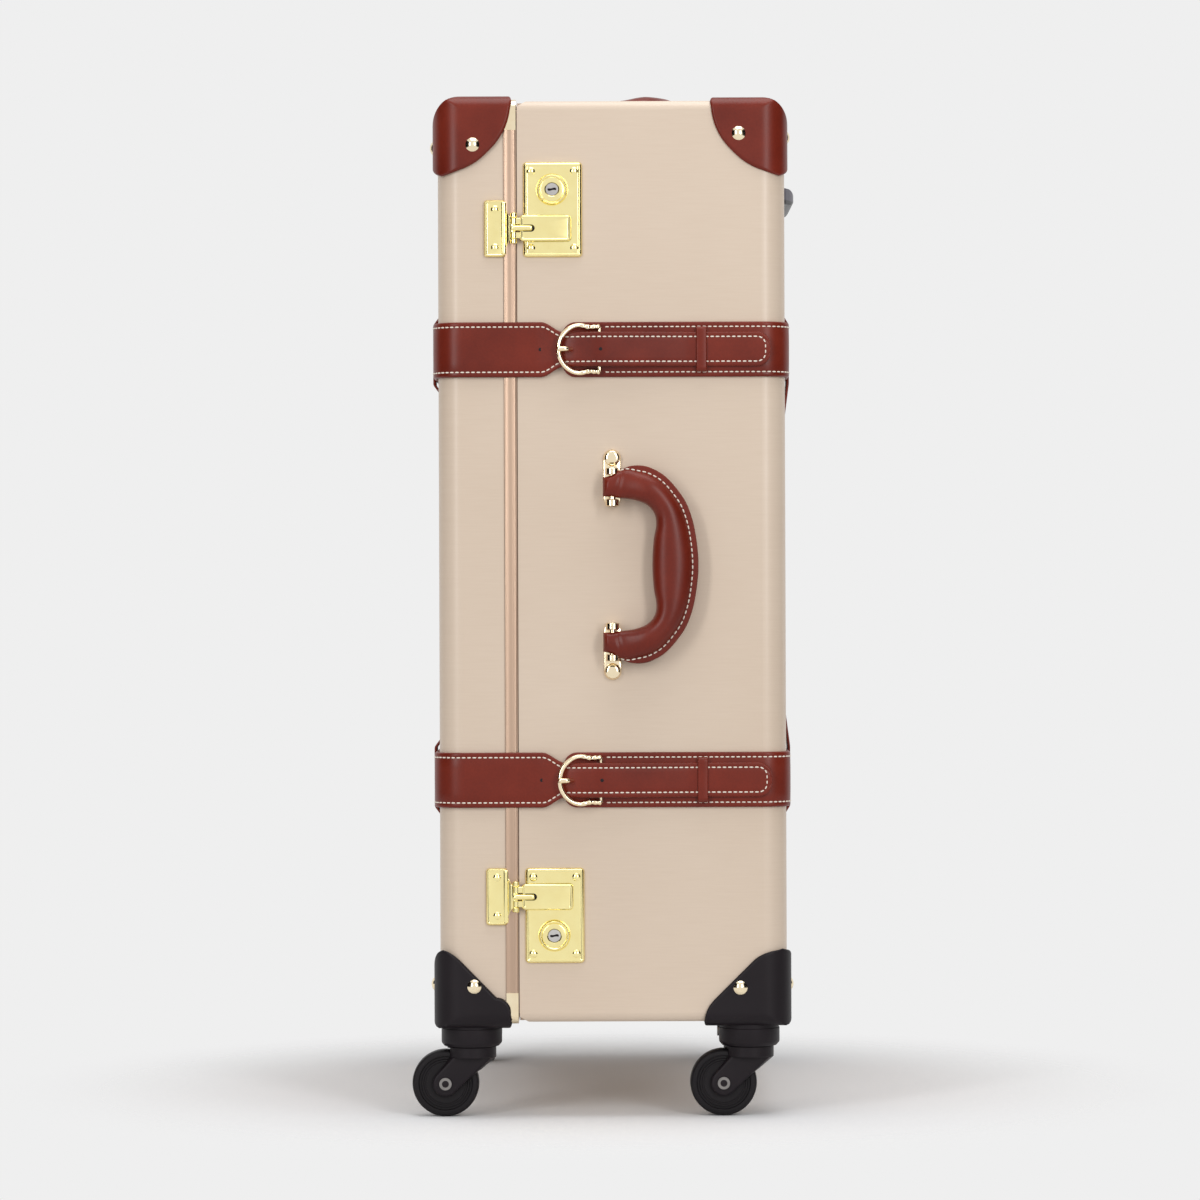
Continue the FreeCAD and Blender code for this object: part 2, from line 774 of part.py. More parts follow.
def strap_tail(z):
    """The tapered tail that runs on from a lid strap, over the buckle bar, to its rounded tip."""
    fold = tail_fold - tail_sheet / 2
    rise = tail_low + prong_radius + 2 * seat_gap + (tail_hump - tail_low) / 2
    knots = [
        (tail_fold_x, fold),
        (tail_taper_x, fold),
        (tail_neck_x, tail_low),
        (prong_rise_x, rise),
        (buckle_bar_x - tail_hump_half, tail_hump),
        (buckle_bar_x + tail_hump_half, tail_hump),
        (buckle_bar_x + tail_hump_run, tail_low),
        (tail_tip_x, tail_low),
    ]
    back = [(x, n + tail_sheet) for x, n in reversed(knots)]
    corners = [(x, -half_width - n, 0) for x, n in knots + back]
    half = strap_width / 2
    sheet = prism(corners, on_plan(z - half), (0, 0, strap_width))
    slim = tail_width / 2
    turn = tail_neck_x - tail_taper_x
    shape = [
        (tail_fold_x, z - half, 0),
        (tail_taper_x, z - half, turn / 2),
        (tail_neck_x, z - slim, turn / 2),
        (tail_tip_x, z - slim, slim - seat_gap),
        (tail_tip_x, z + slim, slim - seat_gap),
        (tail_neck_x, z + slim, turn / 2),
        (tail_taper_x, z + half, turn / 2),
        (tail_fold_x, z + half, 0),
    ]
    reach = half_width + far_out
    tail = sheet.common(prism(shape, on_side(-reach), (0, reach, 0)))
    root = rod(tail_sheet / 2, (tail_fold_x, -half_width - tail_fold, z - half), (0, 0, 1), strap_width)
    slot_half = prong_half_width + running_gap
    slot = box(
        (prong_top_x - prong_slot_room, -reach, z - slot_half),
        (prong_rise_x + prong_slot_room, 0, z + slot_half),
    )
    return join([tail, root]).cut(slot)


def bow_height():
    """How far out the buckle's bow lies, clear of the tail under it."""
    return tail_low + 2 * tail_sheet + buckle_wire + buckle_lift


def buckle_frame(z):
    """The horseshoe wire and its bar: straight arms and a round bow, tipped out over the tail."""
    arm_x = buckle_bow_x + buckle_half_width
    half = buckle_half_width
    arms = [V(buckle_bar_x, 0, half), V(arm_x, 0, half)]
    bend = [V(arm_x, 0, half), V(buckle_bow_x, 0, 0), V(arm_x, 0, -half)]
    path = Part.Wire(
        [
            Part.LineSegment(*arms).toShape(),
            Part.Arc(*bend).toShape(),
            Part.LineSegment(V(arm_x, 0, -half), V(buckle_bar_x, 0, -half)).toShape(),
        ]
    )
    section = Part.Wire([Part.Circle(arms[0], V(1, 0, 0), buckle_wire).toShape()])
    wire = path.makePipeShell([section], True, True)
    knobs = [Part.makeSphere(buckle_knob, V(buckle_bar_x, 0, s * half)) for s in (-1, 1)]
    bar = rod(buckle_bar_radius, (buckle_bar_x, 0, -half), (0, 0, 1), 2 * half)
    frame = join([wire, bar] + knobs)
    run = buckle_bar_x - buckle_bow_x
    tip = math.degrees(math.asin((bow_height() - buckle_axis) / run))
    frame.rotate(V(buckle_bar_x, 0, 0), V(0, 0, 1), tip)
    frame.translate(V(0, -half_width - buckle_axis, z))
    return frame


def buckle_prong(z):
    """The prong: a ring on the bar, a pin under the tail, up through its slot and over the bow."""
    over = bow_height() + buckle_wire + prong_radius + running_gap
    under = tail_low + prong_radius
    stops = [
        (buckle_bar_x, buckle_axis),
        (prong_rise_x, under),
        (prong_top_x, over),
        (buckle_bow_x - prong_overhang, over),
    ]
    points = [V(x, -half_width - n, z) for x, n in stops]
    start = V(buckle_bar_x, -half_width - buckle_axis, z - prong_half_width)
    pieces = [Part.makeCylinder(prong_ring, 2 * prong_half_width, start, V(0, 0, 1))]
    for a, b in zip(points, points[1:]):
        pieces.append(Part.makeCylinder(prong_radius, (b - a).Length, a, b - a))
        pieces.append(Part.makeSphere(prong_radius, b))
    bar = rod(buckle_bar_radius + shaft_gap, tuple(start), (0, 0, 1), far_out)
    return join(pieces).cut(bar)


def tail_keepers():
    """Narrow leather bridges over the tails, standing on the base straps."""
    low = base_strap_out + seat_gap
    inside = tail_low + tail_sheet + running_gap
    out = inside + keeper_sheet
    half = tail_width / 2 + running_gap
    keepers = []
    for z in strap_heights.values():
        x0, x1 = keeper_x - keeper_width / 2, keeper_x + keeper_width / 2
        block = box(
            (x0, -half_width - out, z - half - keeper_sheet),
            (x1, -half_width - low, z + half + keeper_sheet),
        )
        room = box((x0, -half_width - inside, z - half), (x1, -half_width, z + half))
        keepers.append(block.cut(room))
    return keepers


def strap_loops(sign_x, strap_out, inner_end):
    """Upright leather loops that hold the straps on the front or the back of the case. Each has a short
    end away from the handle, and an end of the given length towards it."""
    half = strap_width / 2 + running_gap
    inside = strap_out + running_gap
    out = inside + loop_sheet
    x_plane = x_front if sign_x < 0 else x_back
    loops = []
    for z, inward in ((strap_heights["upper"], -1), (strap_heights["lower"], 1)):
        shoulder = half + loop_sheet
        long_end = shoulder + inner_end
        short_end = shoulder + loop_short_end
        profile = [
            (long_end, seat_gap),
            (long_end, seat_gap + loop_end_sheet),
            (shoulder, out),
            (-shoulder, out),
            (-short_end, seat_gap + loop_end_sheet),
            (-short_end, seat_gap),
            (-half, seat_gap),
            (-half, inside),
            (half, inside),
            (half, seat_gap),
        ]
        corners = [(x_plane + sign_x * n, z + inward * v, 0) for v, n in profile]
        for y in (-half_width + loop_inset, half_width - loop_inset - loop_width):
            loops.append(prism(corners, on_side(y), (0, loop_width, 0)))
    return loops


def hinge_leaf_on(side, low, z0, knuckles, others):
    """One leaf: its plate on the case, its own knuckles and the tongues that carry them."""
    edge = base_edge if side > 0 else lid_edge
    xs = sorted((edge, x_split + side * (hinge_barrel + hinge_leaf)))
    plate = box((xs[0], low, z0), (xs[1], low + hinge_sheet, z0 + hinge_length))
    axis = (x_split, hinge_y)
    room = hinge_barrel + running_gap
    for a, b in others:
        start = (*axis, a - running_gap)
        plate = plate.cut(rod(room, start, (0, 0, 1), b - a + 2 * running_gap))
    xs = sorted((x_split + side * hinge_barrel, x_split + side * (hinge_barrel - hinge_sheet)))
    pieces = [plate]
    for a, b in knuckles:
        pieces.append(rod(hinge_barrel, (*axis, a), (0, 0, 1), b - a))
        pieces.append(box((xs[0], low, a), (xs[1], hinge_y, b)))
    bore = rod(hinge_pin + shaft_gap, (*axis, z0), (0, 0, 1), hinge_length)
    return join(pieces).cut(bore)


def hinges():
    """Leaves of the base, leaves of the lid and pins of the three hinges."""
    base_leaves, lid_leaves, pins = [], [], []
    knuckle = hinge_length / 3
    gap = running_gap / 2
    for z in hinge_heights:
        z0 = z - hinge_length / 2
        spans = [(z0 + i * knuckle + gap, z0 + (i + 1) * knuckle - gap) for i in range(3)]
        ends, middle = [spans[0], spans[2]], [spans[1]]
        base_leaves.append(hinge_leaf_on(1, half_width + seat_gap, z0, ends, middle))
        lid_leaves.append(hinge_leaf_on(-1, half_width + lid_strap_low, z0, middle, ends))
        pins.append(rod(hinge_pin, (x_split, hinge_y, z0), (0, 0, 1), hinge_length))
    return base_leaves, lid_leaves, pins


def bordered_plate(x0, x1, z0, z1, low, sheet, border, border_height):
    """A plate on the lock side with rounded corners and a raised border."""
    place = on_side(-half_width - low)
    plate = prism(rectangle(x0, x1, z0, z1, lock_round), place, (0, -sheet - border_height, 0))
    inner = rectangle(x0 + border, x1 - border, z0 + border, z1 - border, lock_round / 2)
    return plate.cut(prism(inner, on_side(-half_width - low - sheet), (0, -far_out, 0)))


def lock(name):
    """Lock plate, key plug, hasp, hasp pin and catch plate of one lock, and where its screws stand."""
    z, up = lock_heights[name], lock_flips[name]
    x0, x1 = lock_start_x, lock_start_x + lock_width
    z0, z1 = z - lock_height / 2, z + lock_height / 2
    plate = bordered_plate(x0, x1, z0, z1, seat_gap, lock_sheet, lock_border, lock_border_height)
    plug_x, plug_z = x0 + plug_in, z + up * plug_up
    base = -half_width - seat_gap
    boss = rod(plug_boss, (plug_x, base, plug_z), (0, -1, 0), lock_sheet + plug_boss_height)
    plug_length = lock_sheet + plug_boss_height
    plug_room = rod(plug_radius + shaft_gap, (plug_x, base, plug_z), (0, -1, 0), far_out)
    plug = rod(plug_radius, (plug_x, base, plug_z), (0, -1, 0), plug_length)
    face = base - plug_length
    keyway = box(
        (plug_x - keyway_length / 2, face, plug_z - keyway_width / 2),
        (plug_x + keyway_length / 2, face + plug_length / 2, plug_z + keyway_width / 2),
    )
    hasp_z = z - up * hasp_down
    hasp_start = hasp_x + hasp_barrel + hasp_neck
    tip = hasp_start + hasp_length
    half = hasp_height / 2
    hasp_area = (hasp_start, tip, hasp_z - half, hasp_z + half)
    hasp = bordered_plate(*hasp_area, hasp_low, hasp_sheet, lock_border, hasp_border_height)
    axis = -half_width - hasp_axis
    barrel_z = hasp_z - hasp_barrel_half
    barrel = rod(hasp_barrel, (hasp_x, axis, barrel_z), (0, 0, 1), 2 * hasp_barrel_half)
    neck = box(
        (hasp_x, -half_width - hasp_low - hasp_sheet, barrel_z),
        (hasp_start + lock_border, -half_width - hasp_low, barrel_z + 2 * hasp_barrel_half),
    )
    staple_x = x0 + staple_in
    floor = -half_width - seat_gap - lock_sheet / 2
    staple = box(
        (staple_x - staple_length, -half_width - hasp_low, hasp_z - staple_half_width),
        (staple_x, floor - running_gap, hasp_z + staple_half_width),
    )
    channel_half = staple_half_width + running_gap
    channel = box(
        (x0, floor - far_out, hasp_z - channel_half),
        (staple_x + running_gap, floor, hasp_z + channel_half),
    )
    pin_half = hasp_barrel_half + running_gap + hasp_arm
    pin_start = (hasp_x, axis, hasp_z - pin_half)
    pin = rod(hasp_pin_radius, pin_start, (0, 0, 1), 2 * pin_half)
    pin_room = rod(hasp_pin_radius + shaft_gap, pin_start, (0, 0, 1), 2 * pin_half)
    catch_x1 = x_split - catch_gap
    catch_x0 = catch_x1 - catch_width
    catch_half = catch_height / 2
    catch_area = (catch_x0, catch_x1, hasp_z - catch_half, hasp_z + catch_half)
    catch = bordered_plate(*catch_area, lid_strap_low, catch_sheet, catch_border, hasp_border_height)
    arms = []
    for arm_z in (hasp_z - pin_half, hasp_z + hasp_barrel_half + running_gap):
        arms.append(rod(hasp_barrel, (hasp_x, axis, arm_z), (0, 0, 1), hasp_arm))
        arms.append(
            box(
                (catch_x1 - lock_border, axis, arm_z),
                (hasp_x, -half_width - lid_strap_low, arm_z + hasp_arm),
            )
        )
    catch = join([catch] + arms).cut(pin_room)
    plate_pins = []
    for px in (x0 + lock_screw_in, x1 - lock_screw_in):
        for pz in (z0 + lock_screw_down, z1 - lock_screw_down):
            plate_pins.append((px, base - lock_sheet, pz))
    catch_x = (catch_x0 + catch_x1) / 2
    catch_face = -half_width - lid_strap_low - catch_sheet
    catch_pins = [(catch_x, catch_face, hasp_z + s * catch_screw_spread) for s in (-1, 1)]
    return {
        "plate": join([plate.cut(channel), boss]).cut(plug_room),
        "plug": plug.cut(keyway),
        "hasp": join([hasp, barrel, neck, staple]).cut(pin_room),
        "pin": pin,
        "catch": catch,
        "plate_pins": plate_pins,
        "catch_pins": catch_pins,
    }


def screws(points, depth):
    """Domed screws on the lock side, and the holes for their shanks."""
    out = (0, -1, 0)
    made = [domed_pin(p, out, screw_head, screw_dome, screw_shank, depth) for p in points]
    return made, [pin_hole(p, out, screw_shank, depth) for p in points]


def handle():
    """Grip, brackets and pins of one handle: axis along Z, grip lying to +X, case surface at y = 0."""
    end_in, end_out, back = handle_end_inner, handle_end_outer, -handle_end_back
    span, reach, inner = handle_half_span, handle_reach, handle_inner_reach
    half = [
        (inner, end_in, handle_inner_bow),
        (back, end_in, 0),
        (back, end_out, handle_end_back / 2),
        (bracket_lug_radius + handle_lug_gap, end_out, handle_end_back / 2),
        (handle_shoulder, span, handle_shoulder_round),
        (handle_crown, span, handle_crown_round),
        (reach, handle_flank, handle_flank_round),
    ]
    corners = half + [(x, -z, r) for x, z, r in reversed(half)]
    top = -handle_offset - handle_thickness / 2
    grip = prism(corners, on_side(top), (0, handle_thickness, 0))
    rims = [f for f in grip.Faces if abs(f.CenterOfMass.y - top) < 1e-6]
    rims += [f for f in grip.Faces if abs(f.CenterOfMass.y - top - handle_thickness) < 1e-6]
    grip = grip.makeFillet(handle_edge_round, [e for f in rims for e in f.OuterWire.Edges])
    length = 2 * span
    thin, thick = handle_end_thickness / 2, handle_thickness / 2
    side_half = [
        (back, thin, thin - seat_gap),
        (handle_swell_start, thin, 0),
        (handle_swell_end, thick, 0),
        (reach + thick, thick, 0),
    ]
    side_view = [(x, out - handle_offset, r) for x, out, r in side_half]
    side_view += [(x, -out - handle_offset, r) for x, out, r in reversed(side_half)]
    hole = rod(handle_pin + shaft_gap, (0, -handle_offset, -span), (0, 0, 1), length)
    grip = grip.common(prism(side_view, on_plan(-span), (0, 0, length))).cut(hole)
    brackets, pins = [], []
    lug_in = end_in - running_gap - bracket_lug
    lug_out = end_out + running_gap
    cap_z = lug_out + bracket_lug + bracket_cap / 2
    for side in (-1, 1):
        zs = sorted((side * lug_in, side * (cap_z + bracket_cap / 2)))
        corners = rectangle(-bracket_half_width, bracket_half_width, *zs, bracket_half_width - seat_gap)
        pieces = [prism(corners, on_side(-seat_gap), (0, -bracket_sheet, 0))]
        for low in (lug_in, lug_out):
            z0 = min(side * low, side * (low + bracket_lug))
            pieces.append(rod(bracket_lug_radius, (0, -handle_offset, z0), (0, 0, 1), bracket_lug))
            pieces.append(
                box(
                    (-bracket_lug_radius, -handle_offset, z0),
                    (bracket_lug_radius, -seat_gap, z0 + bracket_lug),
                )
            )
        dome_at = (0, -seat_gap - bracket_sheet, side * cap_z)
        dome_size = (bracket_cap_radius, bracket_cap_dome, rivet_shank, bracket_sheet)
        pieces.append(domed_pin(dome_at, (0, -1, 0), *dome_size))
        pin_low = min(side * lug_in, side * (lug_out + bracket_lug))
        pin_length = lug_out + bracket_lug - lug_in
        pin = rod(handle_pin, (0, -handle_offset, pin_low), (0, 0, 1), pin_length)
        pins.append(pin)
        brackets.append(join(pieces).cut(pin))
    return grip, brackets, pins


def placed(shape, turn, move):
    """A copy of a shape turned about X and moved."""
    copy = shape.copy()
    copy.rotate(V(0, 0, 0), V(1, 0, 0), turn)
    copy.translate(V(*move))
    return copy


def side_feet():
    """Plastic feet on the hinge side, for laying the case down."""
    feet = []
    for x in (x_split + foot_inset_rim, x_back - foot_inset_back):
        for z in (z_fittings - foot_offset, z_fittings + foot_offset):
            low = V(x, half_width + seat_gap, z)
            feet.append(Part.makeCone(foot_radius, foot_top_radius, foot_height, low, V(0, 1, 0)))
    return feet


def build():
    """All nodes by name, each a list of solids, in the case's own frame."""
    locks = {name: lock(name) for name in lock_heights}
    plate_points = [p for l in locks.values() for p in l["plate_pins"]]
    catch_points = [p for l in locks.values() for p in l["catch_pins"]]
    lock_screws, lock_holes = screws(plate_points, lock_sheet + wall)
    catch_screws, catch_holes = screws(catch_points, catch_sheet + wall)
    lid_leathers, lid_housings, lid_rivets, lid_holes = shell_trim(
        -1,
        lid_cover_low,
        lid_housing_profile,
        (lid_leather_rivet_in, lid_leather_rivet_down),
        (lid_housing_rivet_in, lid_housing_rivet_up),
    )
    base_leathers, base_housings, base_rivets, base_holes = shell_trim(
        1,
        seat_gap,
        base_housing_profile,
        (base_leather_rivet_in, base_leather_rivet_down),
        (base_housing_rivet_in, base_housing_rivet_up),
    )
    hollow = case_block(-wall)
    lid_span = between_x(x_front - far_out, lid_edge - rim_web - seat_gap)
    base_span = between_x(base_edge, x_back + far_out)
    lid_shell = case_block(0).common(lid_span).cut(hollow).cut(lid_holes + catch_holes)
    base_shell = case_block(0).common(base_span).cut(hollow)
    base_shell = base_shell.cut(base_holes + lock_holes + rim_notches() + [bay_box(bay_sheet + seat_gap)])
    lining = skin(-wall - seat_gap - lining_sheet, -wall - seat_gap)
    lid_lining = lining.common(between_x(x_front, lid_edge - rim_width - seat_gap))
    lining_end = panel_x - panel_sheet - seat_gap
    base_lining = lining.common(between_x(base_edge + rim_width + seat_gap, lining_end))
    panel = case_block(-wall - seat_gap).common(between_x(panel_x - panel_sheet, panel_x))
    base_leaves, lid_leaves, pins = hinges()
    grip, brackets, handle_pins = handle()
    side_at = (0, (0, -half_width, handle_mid_z))
    top_at = (-90, (0, 0, z_top))
    catches = [l["catch"].cut(catch_holes) for l in locks.values()]
    plates = [l["plate"].cut(lock_holes) for l in locks.values()]
    nodes = {
        "base_shell": [base_shell],
        "base_rim": [base_rim().cut(rim_notches())],
        "base_lining": [base_lining],
        "back_panel": [panel],
        "trolley_bay": [trolley_bay()],
        "trolley_foot": [trolley_foot()],
        "trolley_outer_tubes": tube_pair(outer_tube, tube_z, bay_floor),
        "trolley_mid_tubes": tube_pair(mid_tube, tube_z + tube_step, bay_floor + tube_step),
        "trolley_inner_tubes": tube_pair(inner_tube, tube_z + 2 * tube_step, channel_low - seat_gap),
        "trolley_grip": [trolley_grip()],
        "trolley_button": [trolley_button()],
        "release_rods": [release_rods()],
        "base_leather_corners": base_leathers,
        "base_wheel_corners": base_housings,
        "base_rivets": base_rivets,
        "lid_shell": [lid_shell],
        "lid_rim": [lid_rim()],
        "lid_rim_clips": rim_clips(),
        "lid_lining": [lid_lining],
        "lid_leather_corners": lid_leathers,
        "lid_wheel_corners": lid_housings,
        "lid_rivets": lid_rivets,
        "base_hinge_leaves": base_leaves,
        "lid_hinge_leaves": lid_leaves,
        "hinge_pins": pins,
        "lock_plates": plates,
        "lock_screws": lock_screws,
        "catch_plates": catches,
        "catch_screws": catch_screws,
        "hasp_pins": [l["pin"] for l in locks.values()],
        "base_straps": base_straps(),
        "lid_straps": lid_straps(),
        "tail_keepers": tail_keepers(),
        "base_strap_loops": strap_loops(1, base_strap_out, loop_long_end),
        "lid_strap_loops": strap_loops(-1, lid_strap_out, loop_short_end),
        "side_feet": side_feet(),
        "handle_brackets": [placed(b, *at) for at in (side_at, top_at) for b in brackets],
        "handle_pins": [placed(p, *at) for at in (side_at, top_at) for p in handle_pins],
        "side_handle": [placed(grip, *side_at)],
        "top_handle": [placed(grip, *top_at)],
    }
    for name, made in locks.items():
        nodes[name + "_hasp"] = [made["hasp"]]
        nodes[name + "_key_plug"] = [made["plug"]]
    for name, z in strap_heights.items():
        nodes[name + "_buckle"] = [buckle_frame(z), buckle_prong(z)]
        nodes[name + "_strap_tail"] = [strap_tail(z)]
    for end, sign_x in (("front", -1), ("back", 1)):
        for side, sign_y, turn in (("lock", -1, 0), ("hinge", 1, 90)):
            fork, axle, wheel = caster(sign_x, sign_y, turn)
            nodes[f"{end}_{side}_fork"] = [fork]
            nodes[f"{end}_{side}_axle"] = [axle]
            nodes[f"{end}_{side}_wheel"] = [wheel]
    return nodes


def centred(nodes):
    """Moves all nodes so that the whole part's box stands with its bottom centre at the origin."""
    whole = FreeCAD.BoundBox()
    for solids in nodes.values():
        for solid in solids:
            whole.add(solid.optimalBoundingBox(False, False))
    move = V(-whole.Center.x, -whole.Center.y, -whole.ZMin)
    return {name: [s.translated(move) for s in solids] for name, solids in nodes.items()}, move


nodes, move = centred(build())
os.makedirs("parts", exist_ok=True)
for name, solids in nodes.items():
    shape = solids[0] if len(solids) == 1 else Part.makeCompound(solids)
    shape.exportStep(f"parts/{name}.step")
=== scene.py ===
import json
import math

import bmesh
import bpy
import numpy as np
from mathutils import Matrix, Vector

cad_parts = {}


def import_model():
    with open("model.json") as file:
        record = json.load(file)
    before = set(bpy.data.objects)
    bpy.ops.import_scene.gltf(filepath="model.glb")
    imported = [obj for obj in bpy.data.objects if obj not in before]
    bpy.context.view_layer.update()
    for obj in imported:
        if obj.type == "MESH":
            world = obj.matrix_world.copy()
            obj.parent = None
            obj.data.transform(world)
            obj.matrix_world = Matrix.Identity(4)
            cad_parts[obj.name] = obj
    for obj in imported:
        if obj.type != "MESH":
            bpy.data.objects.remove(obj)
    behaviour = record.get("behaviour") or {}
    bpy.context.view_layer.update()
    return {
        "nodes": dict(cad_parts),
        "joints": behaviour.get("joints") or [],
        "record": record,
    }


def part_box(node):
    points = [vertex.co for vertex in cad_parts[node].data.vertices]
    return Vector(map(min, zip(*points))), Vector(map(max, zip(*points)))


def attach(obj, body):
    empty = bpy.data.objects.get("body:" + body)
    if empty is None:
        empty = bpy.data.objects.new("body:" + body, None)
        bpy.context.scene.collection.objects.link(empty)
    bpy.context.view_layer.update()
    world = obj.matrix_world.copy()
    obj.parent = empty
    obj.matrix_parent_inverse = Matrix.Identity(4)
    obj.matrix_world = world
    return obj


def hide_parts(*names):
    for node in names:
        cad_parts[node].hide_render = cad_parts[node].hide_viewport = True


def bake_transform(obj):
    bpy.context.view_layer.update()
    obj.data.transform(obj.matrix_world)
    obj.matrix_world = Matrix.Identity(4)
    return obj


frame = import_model()

# Lengths are in millimetres until piece() hands a mesh to Blender; those of the studio are in metres.
# X runs through the case's depth with the lid at -X, Y across its width with the locks at -Y, and Z is
# up. Heights are measured outwards from the case's surface.
MM = 0.001

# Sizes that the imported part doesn't give by itself
edge_round = 18.0
corner_round = 7.0
seat_gap = 0.15
rim_out = 0.65
cover_low = {"lid": 1.45, "base": seat_gap}
leather_sheet = 2.4
leather_reach = 55.5
leather_drop = 55.0
leather_cut = 32.0
leather_bow = 48.0
housing_sheet = 3.2
housing_edge_round = 4.8
collar_radius = 22.7
collar_drop = 19.2
stem_radius = 8.05
neck_radius = 18.3
neck_height = 8.2
neck_roof = 1.1
neck_wall = 2.8
neck_gap = 0.3
wheel_gap = 1.2
fork_hub = 9.6
fork_inside = 8.75
fork_outside = 12.2
strap_width = 41.0
strap_sheet = 3.0
lid_strap_low = rim_out + seat_gap
base_strap_low = seat_gap
tail_width = 25.8
tail_end_round = 10.0
tail_low = 3.3
tail_hump = 8.15
stitch_inset = 3.7
stitch_pitch = 4.0
welt_pitch = 4.2
stitch_length = 3.0
stitch_radius = 0.52
keeper_inset = 62.8
loop_inset = 83.0
loop_width = 26.0
loop_sheet = 1.9
handle_lift = 12.4
lug_length = 5.0
# Share of the trolley grip's height, from its bottom, painted near black as the shade on its underside
shade_share = 0.28
lock_height = 70.7
buckle_rise = 0.19


def span(node):
    """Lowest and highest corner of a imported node."""
    return [np.array(corner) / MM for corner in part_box(node)]


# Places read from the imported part
joint_at = {j["name"]: np.array(j["pos_m"]) / MM for j in frame["joints"] if "pos_m" in j}
slot_of = {row["node"]: row["material_slot"] for row in frame["record"]["subparts"]}
front_x, back_x = span("lid_shell")[0][0], span("base_shell")[1][0]
(base_edge, near_y, low_z), (_, far_y, high_z) = span("base_shell")
lid_edge = span("lid_rim")[1][0]
split_x = (lid_edge + base_edge) / 2
lid_strap_end = lid_edge - 2.0
case_middle = np.array([front_x + back_x, near_y + far_y, low_z + high_z]) / 2
case_half = np.array([back_x - front_x, far_y - near_y, high_z - low_z]) / 2
strap_heights = {name: joint_at[name + "_strap_fold"][2] for name in ("upper", "lower")}
grip_low, grip_high = (corner[2] for corner in span("trolley_grip"))
# The band in which the grip's painted underside shade gives way to its grey
grip_shade_edge = grip_low + shade_share * (grip_high - grip_low) + np.array([-0.2, 0.2])
to_locks = np.array([0.0, -1.0, 0.0])
upward = np.array([0.0, 0.0, 1.0])
to_back = np.array([1.0, 0.0, 0.0])
neck_top = low_z - collar_drop - neck_gap
neck_low = neck_top - neck_height
neck_under = neck_top - neck_roof
casters = {
    f"{end}_{side}": axle_way
    for end in ("front", "back")
    for side, axle_way in (("lock", to_locks), ("hinge", to_back))
}

scene = bpy.context.scene
scene.view_settings.view_transform = "Standard"


class Wire:
    """A socket in a material's nodes. Arithmetic on it adds Math nodes."""

    def __init__(self, tree, socket=None):
        self.tree = tree
        self.socket = socket

    def node(self, kind, settings=None, sockets=None, output=0):
        """Adds a node: its settings first, then its sockets."""
        made = self.tree.nodes.new("ShaderNode" + kind)
        for key, value in (settings or {}).items():
            setattr(made, key, value)
        for key, value in (sockets or {}).items():
            if isinstance(value, Wire):
                self.tree.links.new(value.socket, made.inputs[key])
            else:
                made.inputs[key].default_value = value
        return Wire(self.tree, made.outputs[output])

    def math(self, operation, *values):
        """A Math node on numbers and wires."""
        return self.node("Math", {"operation": operation}, dict(enumerate(values)))

    def __add__(self, other):
        return self.math("ADD", self, other)

    def __radd__(self, other):
        return self.math("ADD", other, self)

    def __sub__(self, other):
        return self.math("SUBTRACT", self, other)

    def __rsub__(self, other):
        return self.math("SUBTRACT", other, self)

    def __mul__(self, other):
        return self.math("MULTIPLY", self, other)

    def __rmul__(self, other):
        return self.math("MULTIPLY", other, self)

    def noise(self, size, detail=3.0, stretch=(1, 1, 1)):
        """Cloudy values about 0.5 in patches of about the given size in millimetres."""
        place = self.node("TexCoord", output="Object")
        scale = tuple(s / (size * MM) for s in stretch)
        place = self.node("Mapping", sockets={"Vector": place, "Scale": scale})
        return self.node("TexNoise", sockets={"Vector": place, "Scale": 1.0, "Detail": detail})

    def cells(self, size):
        """Distance to the nearest of many scattered points about the given size apart."""
        place = self.node("TexCoord", output="Object")
        return self.node("TexVoronoi", sockets={"Vector": place, "Scale": 1 / (size * MM)})

    def mix(self, factor, first, second):
        """A colour between two colours."""
        return self.node("Mix", {"data_type": "RGBA"}, {0: factor, 6: first, 7: second}, output=2)

    def bump(self, height, depth, strength=1.0):
        """A normal from a height, where depth is the height's full size in millimetres."""
        return self.node("Bump", sockets={"Height": height, "Distance": depth * MM, "Strength": strength})

    def clamp(self, value):
        """A value held between 0 and 1."""
        return self.node("Clamp", sockets={"Value": value})


def linear(red, green, blue):
    """A colour from 0 to 255 on screen as light values."""
    parts = np.array([red, green, blue]) / 255
    light = np.where(parts <= 0.04045, parts / 12.92, ((parts + 0.055) / 1.055) ** 2.4)
    return (*light.tolist(), 1.0)


def material(name, constants, paint):
    """A material whose shader has constant values and whose other values paint() gives."""
    made = bpy.data.materials.new(name)
    made.use_nodes = True
    tree = made.node_tree
    shader = tree.nodes["Principled BSDF"]
    for key, value in constants.items():
        shader.inputs[key].default_value = value
    for key, value in paint(Wire(tree)).items():
        tree.links.new(value.socket, shader.inputs[key])
    return made


def board_paint(wire):
    """Tan coated cloth on board: broad soft mottling, a faint level weave and a fine grain."""
    broad = wire.noise(160, 2)
    weave = wire.noise(1.3, 4, (0.05, 0.05, 1))
    tone = wire.clamp(broad * 0.8 + weave * 0.5 - 0.15)
    colour = wire.mix(tone, linear(210, 189, 168), linear(224, 206, 187))
    grain = wire.noise(0.7, 5)
    rough = 0.34 + wire.noise(25, 3) * 0.1
    return {"Base Color": colour, "Roughness": rough, "Normal": wire.bump(grain, 0.02, 0.35)}


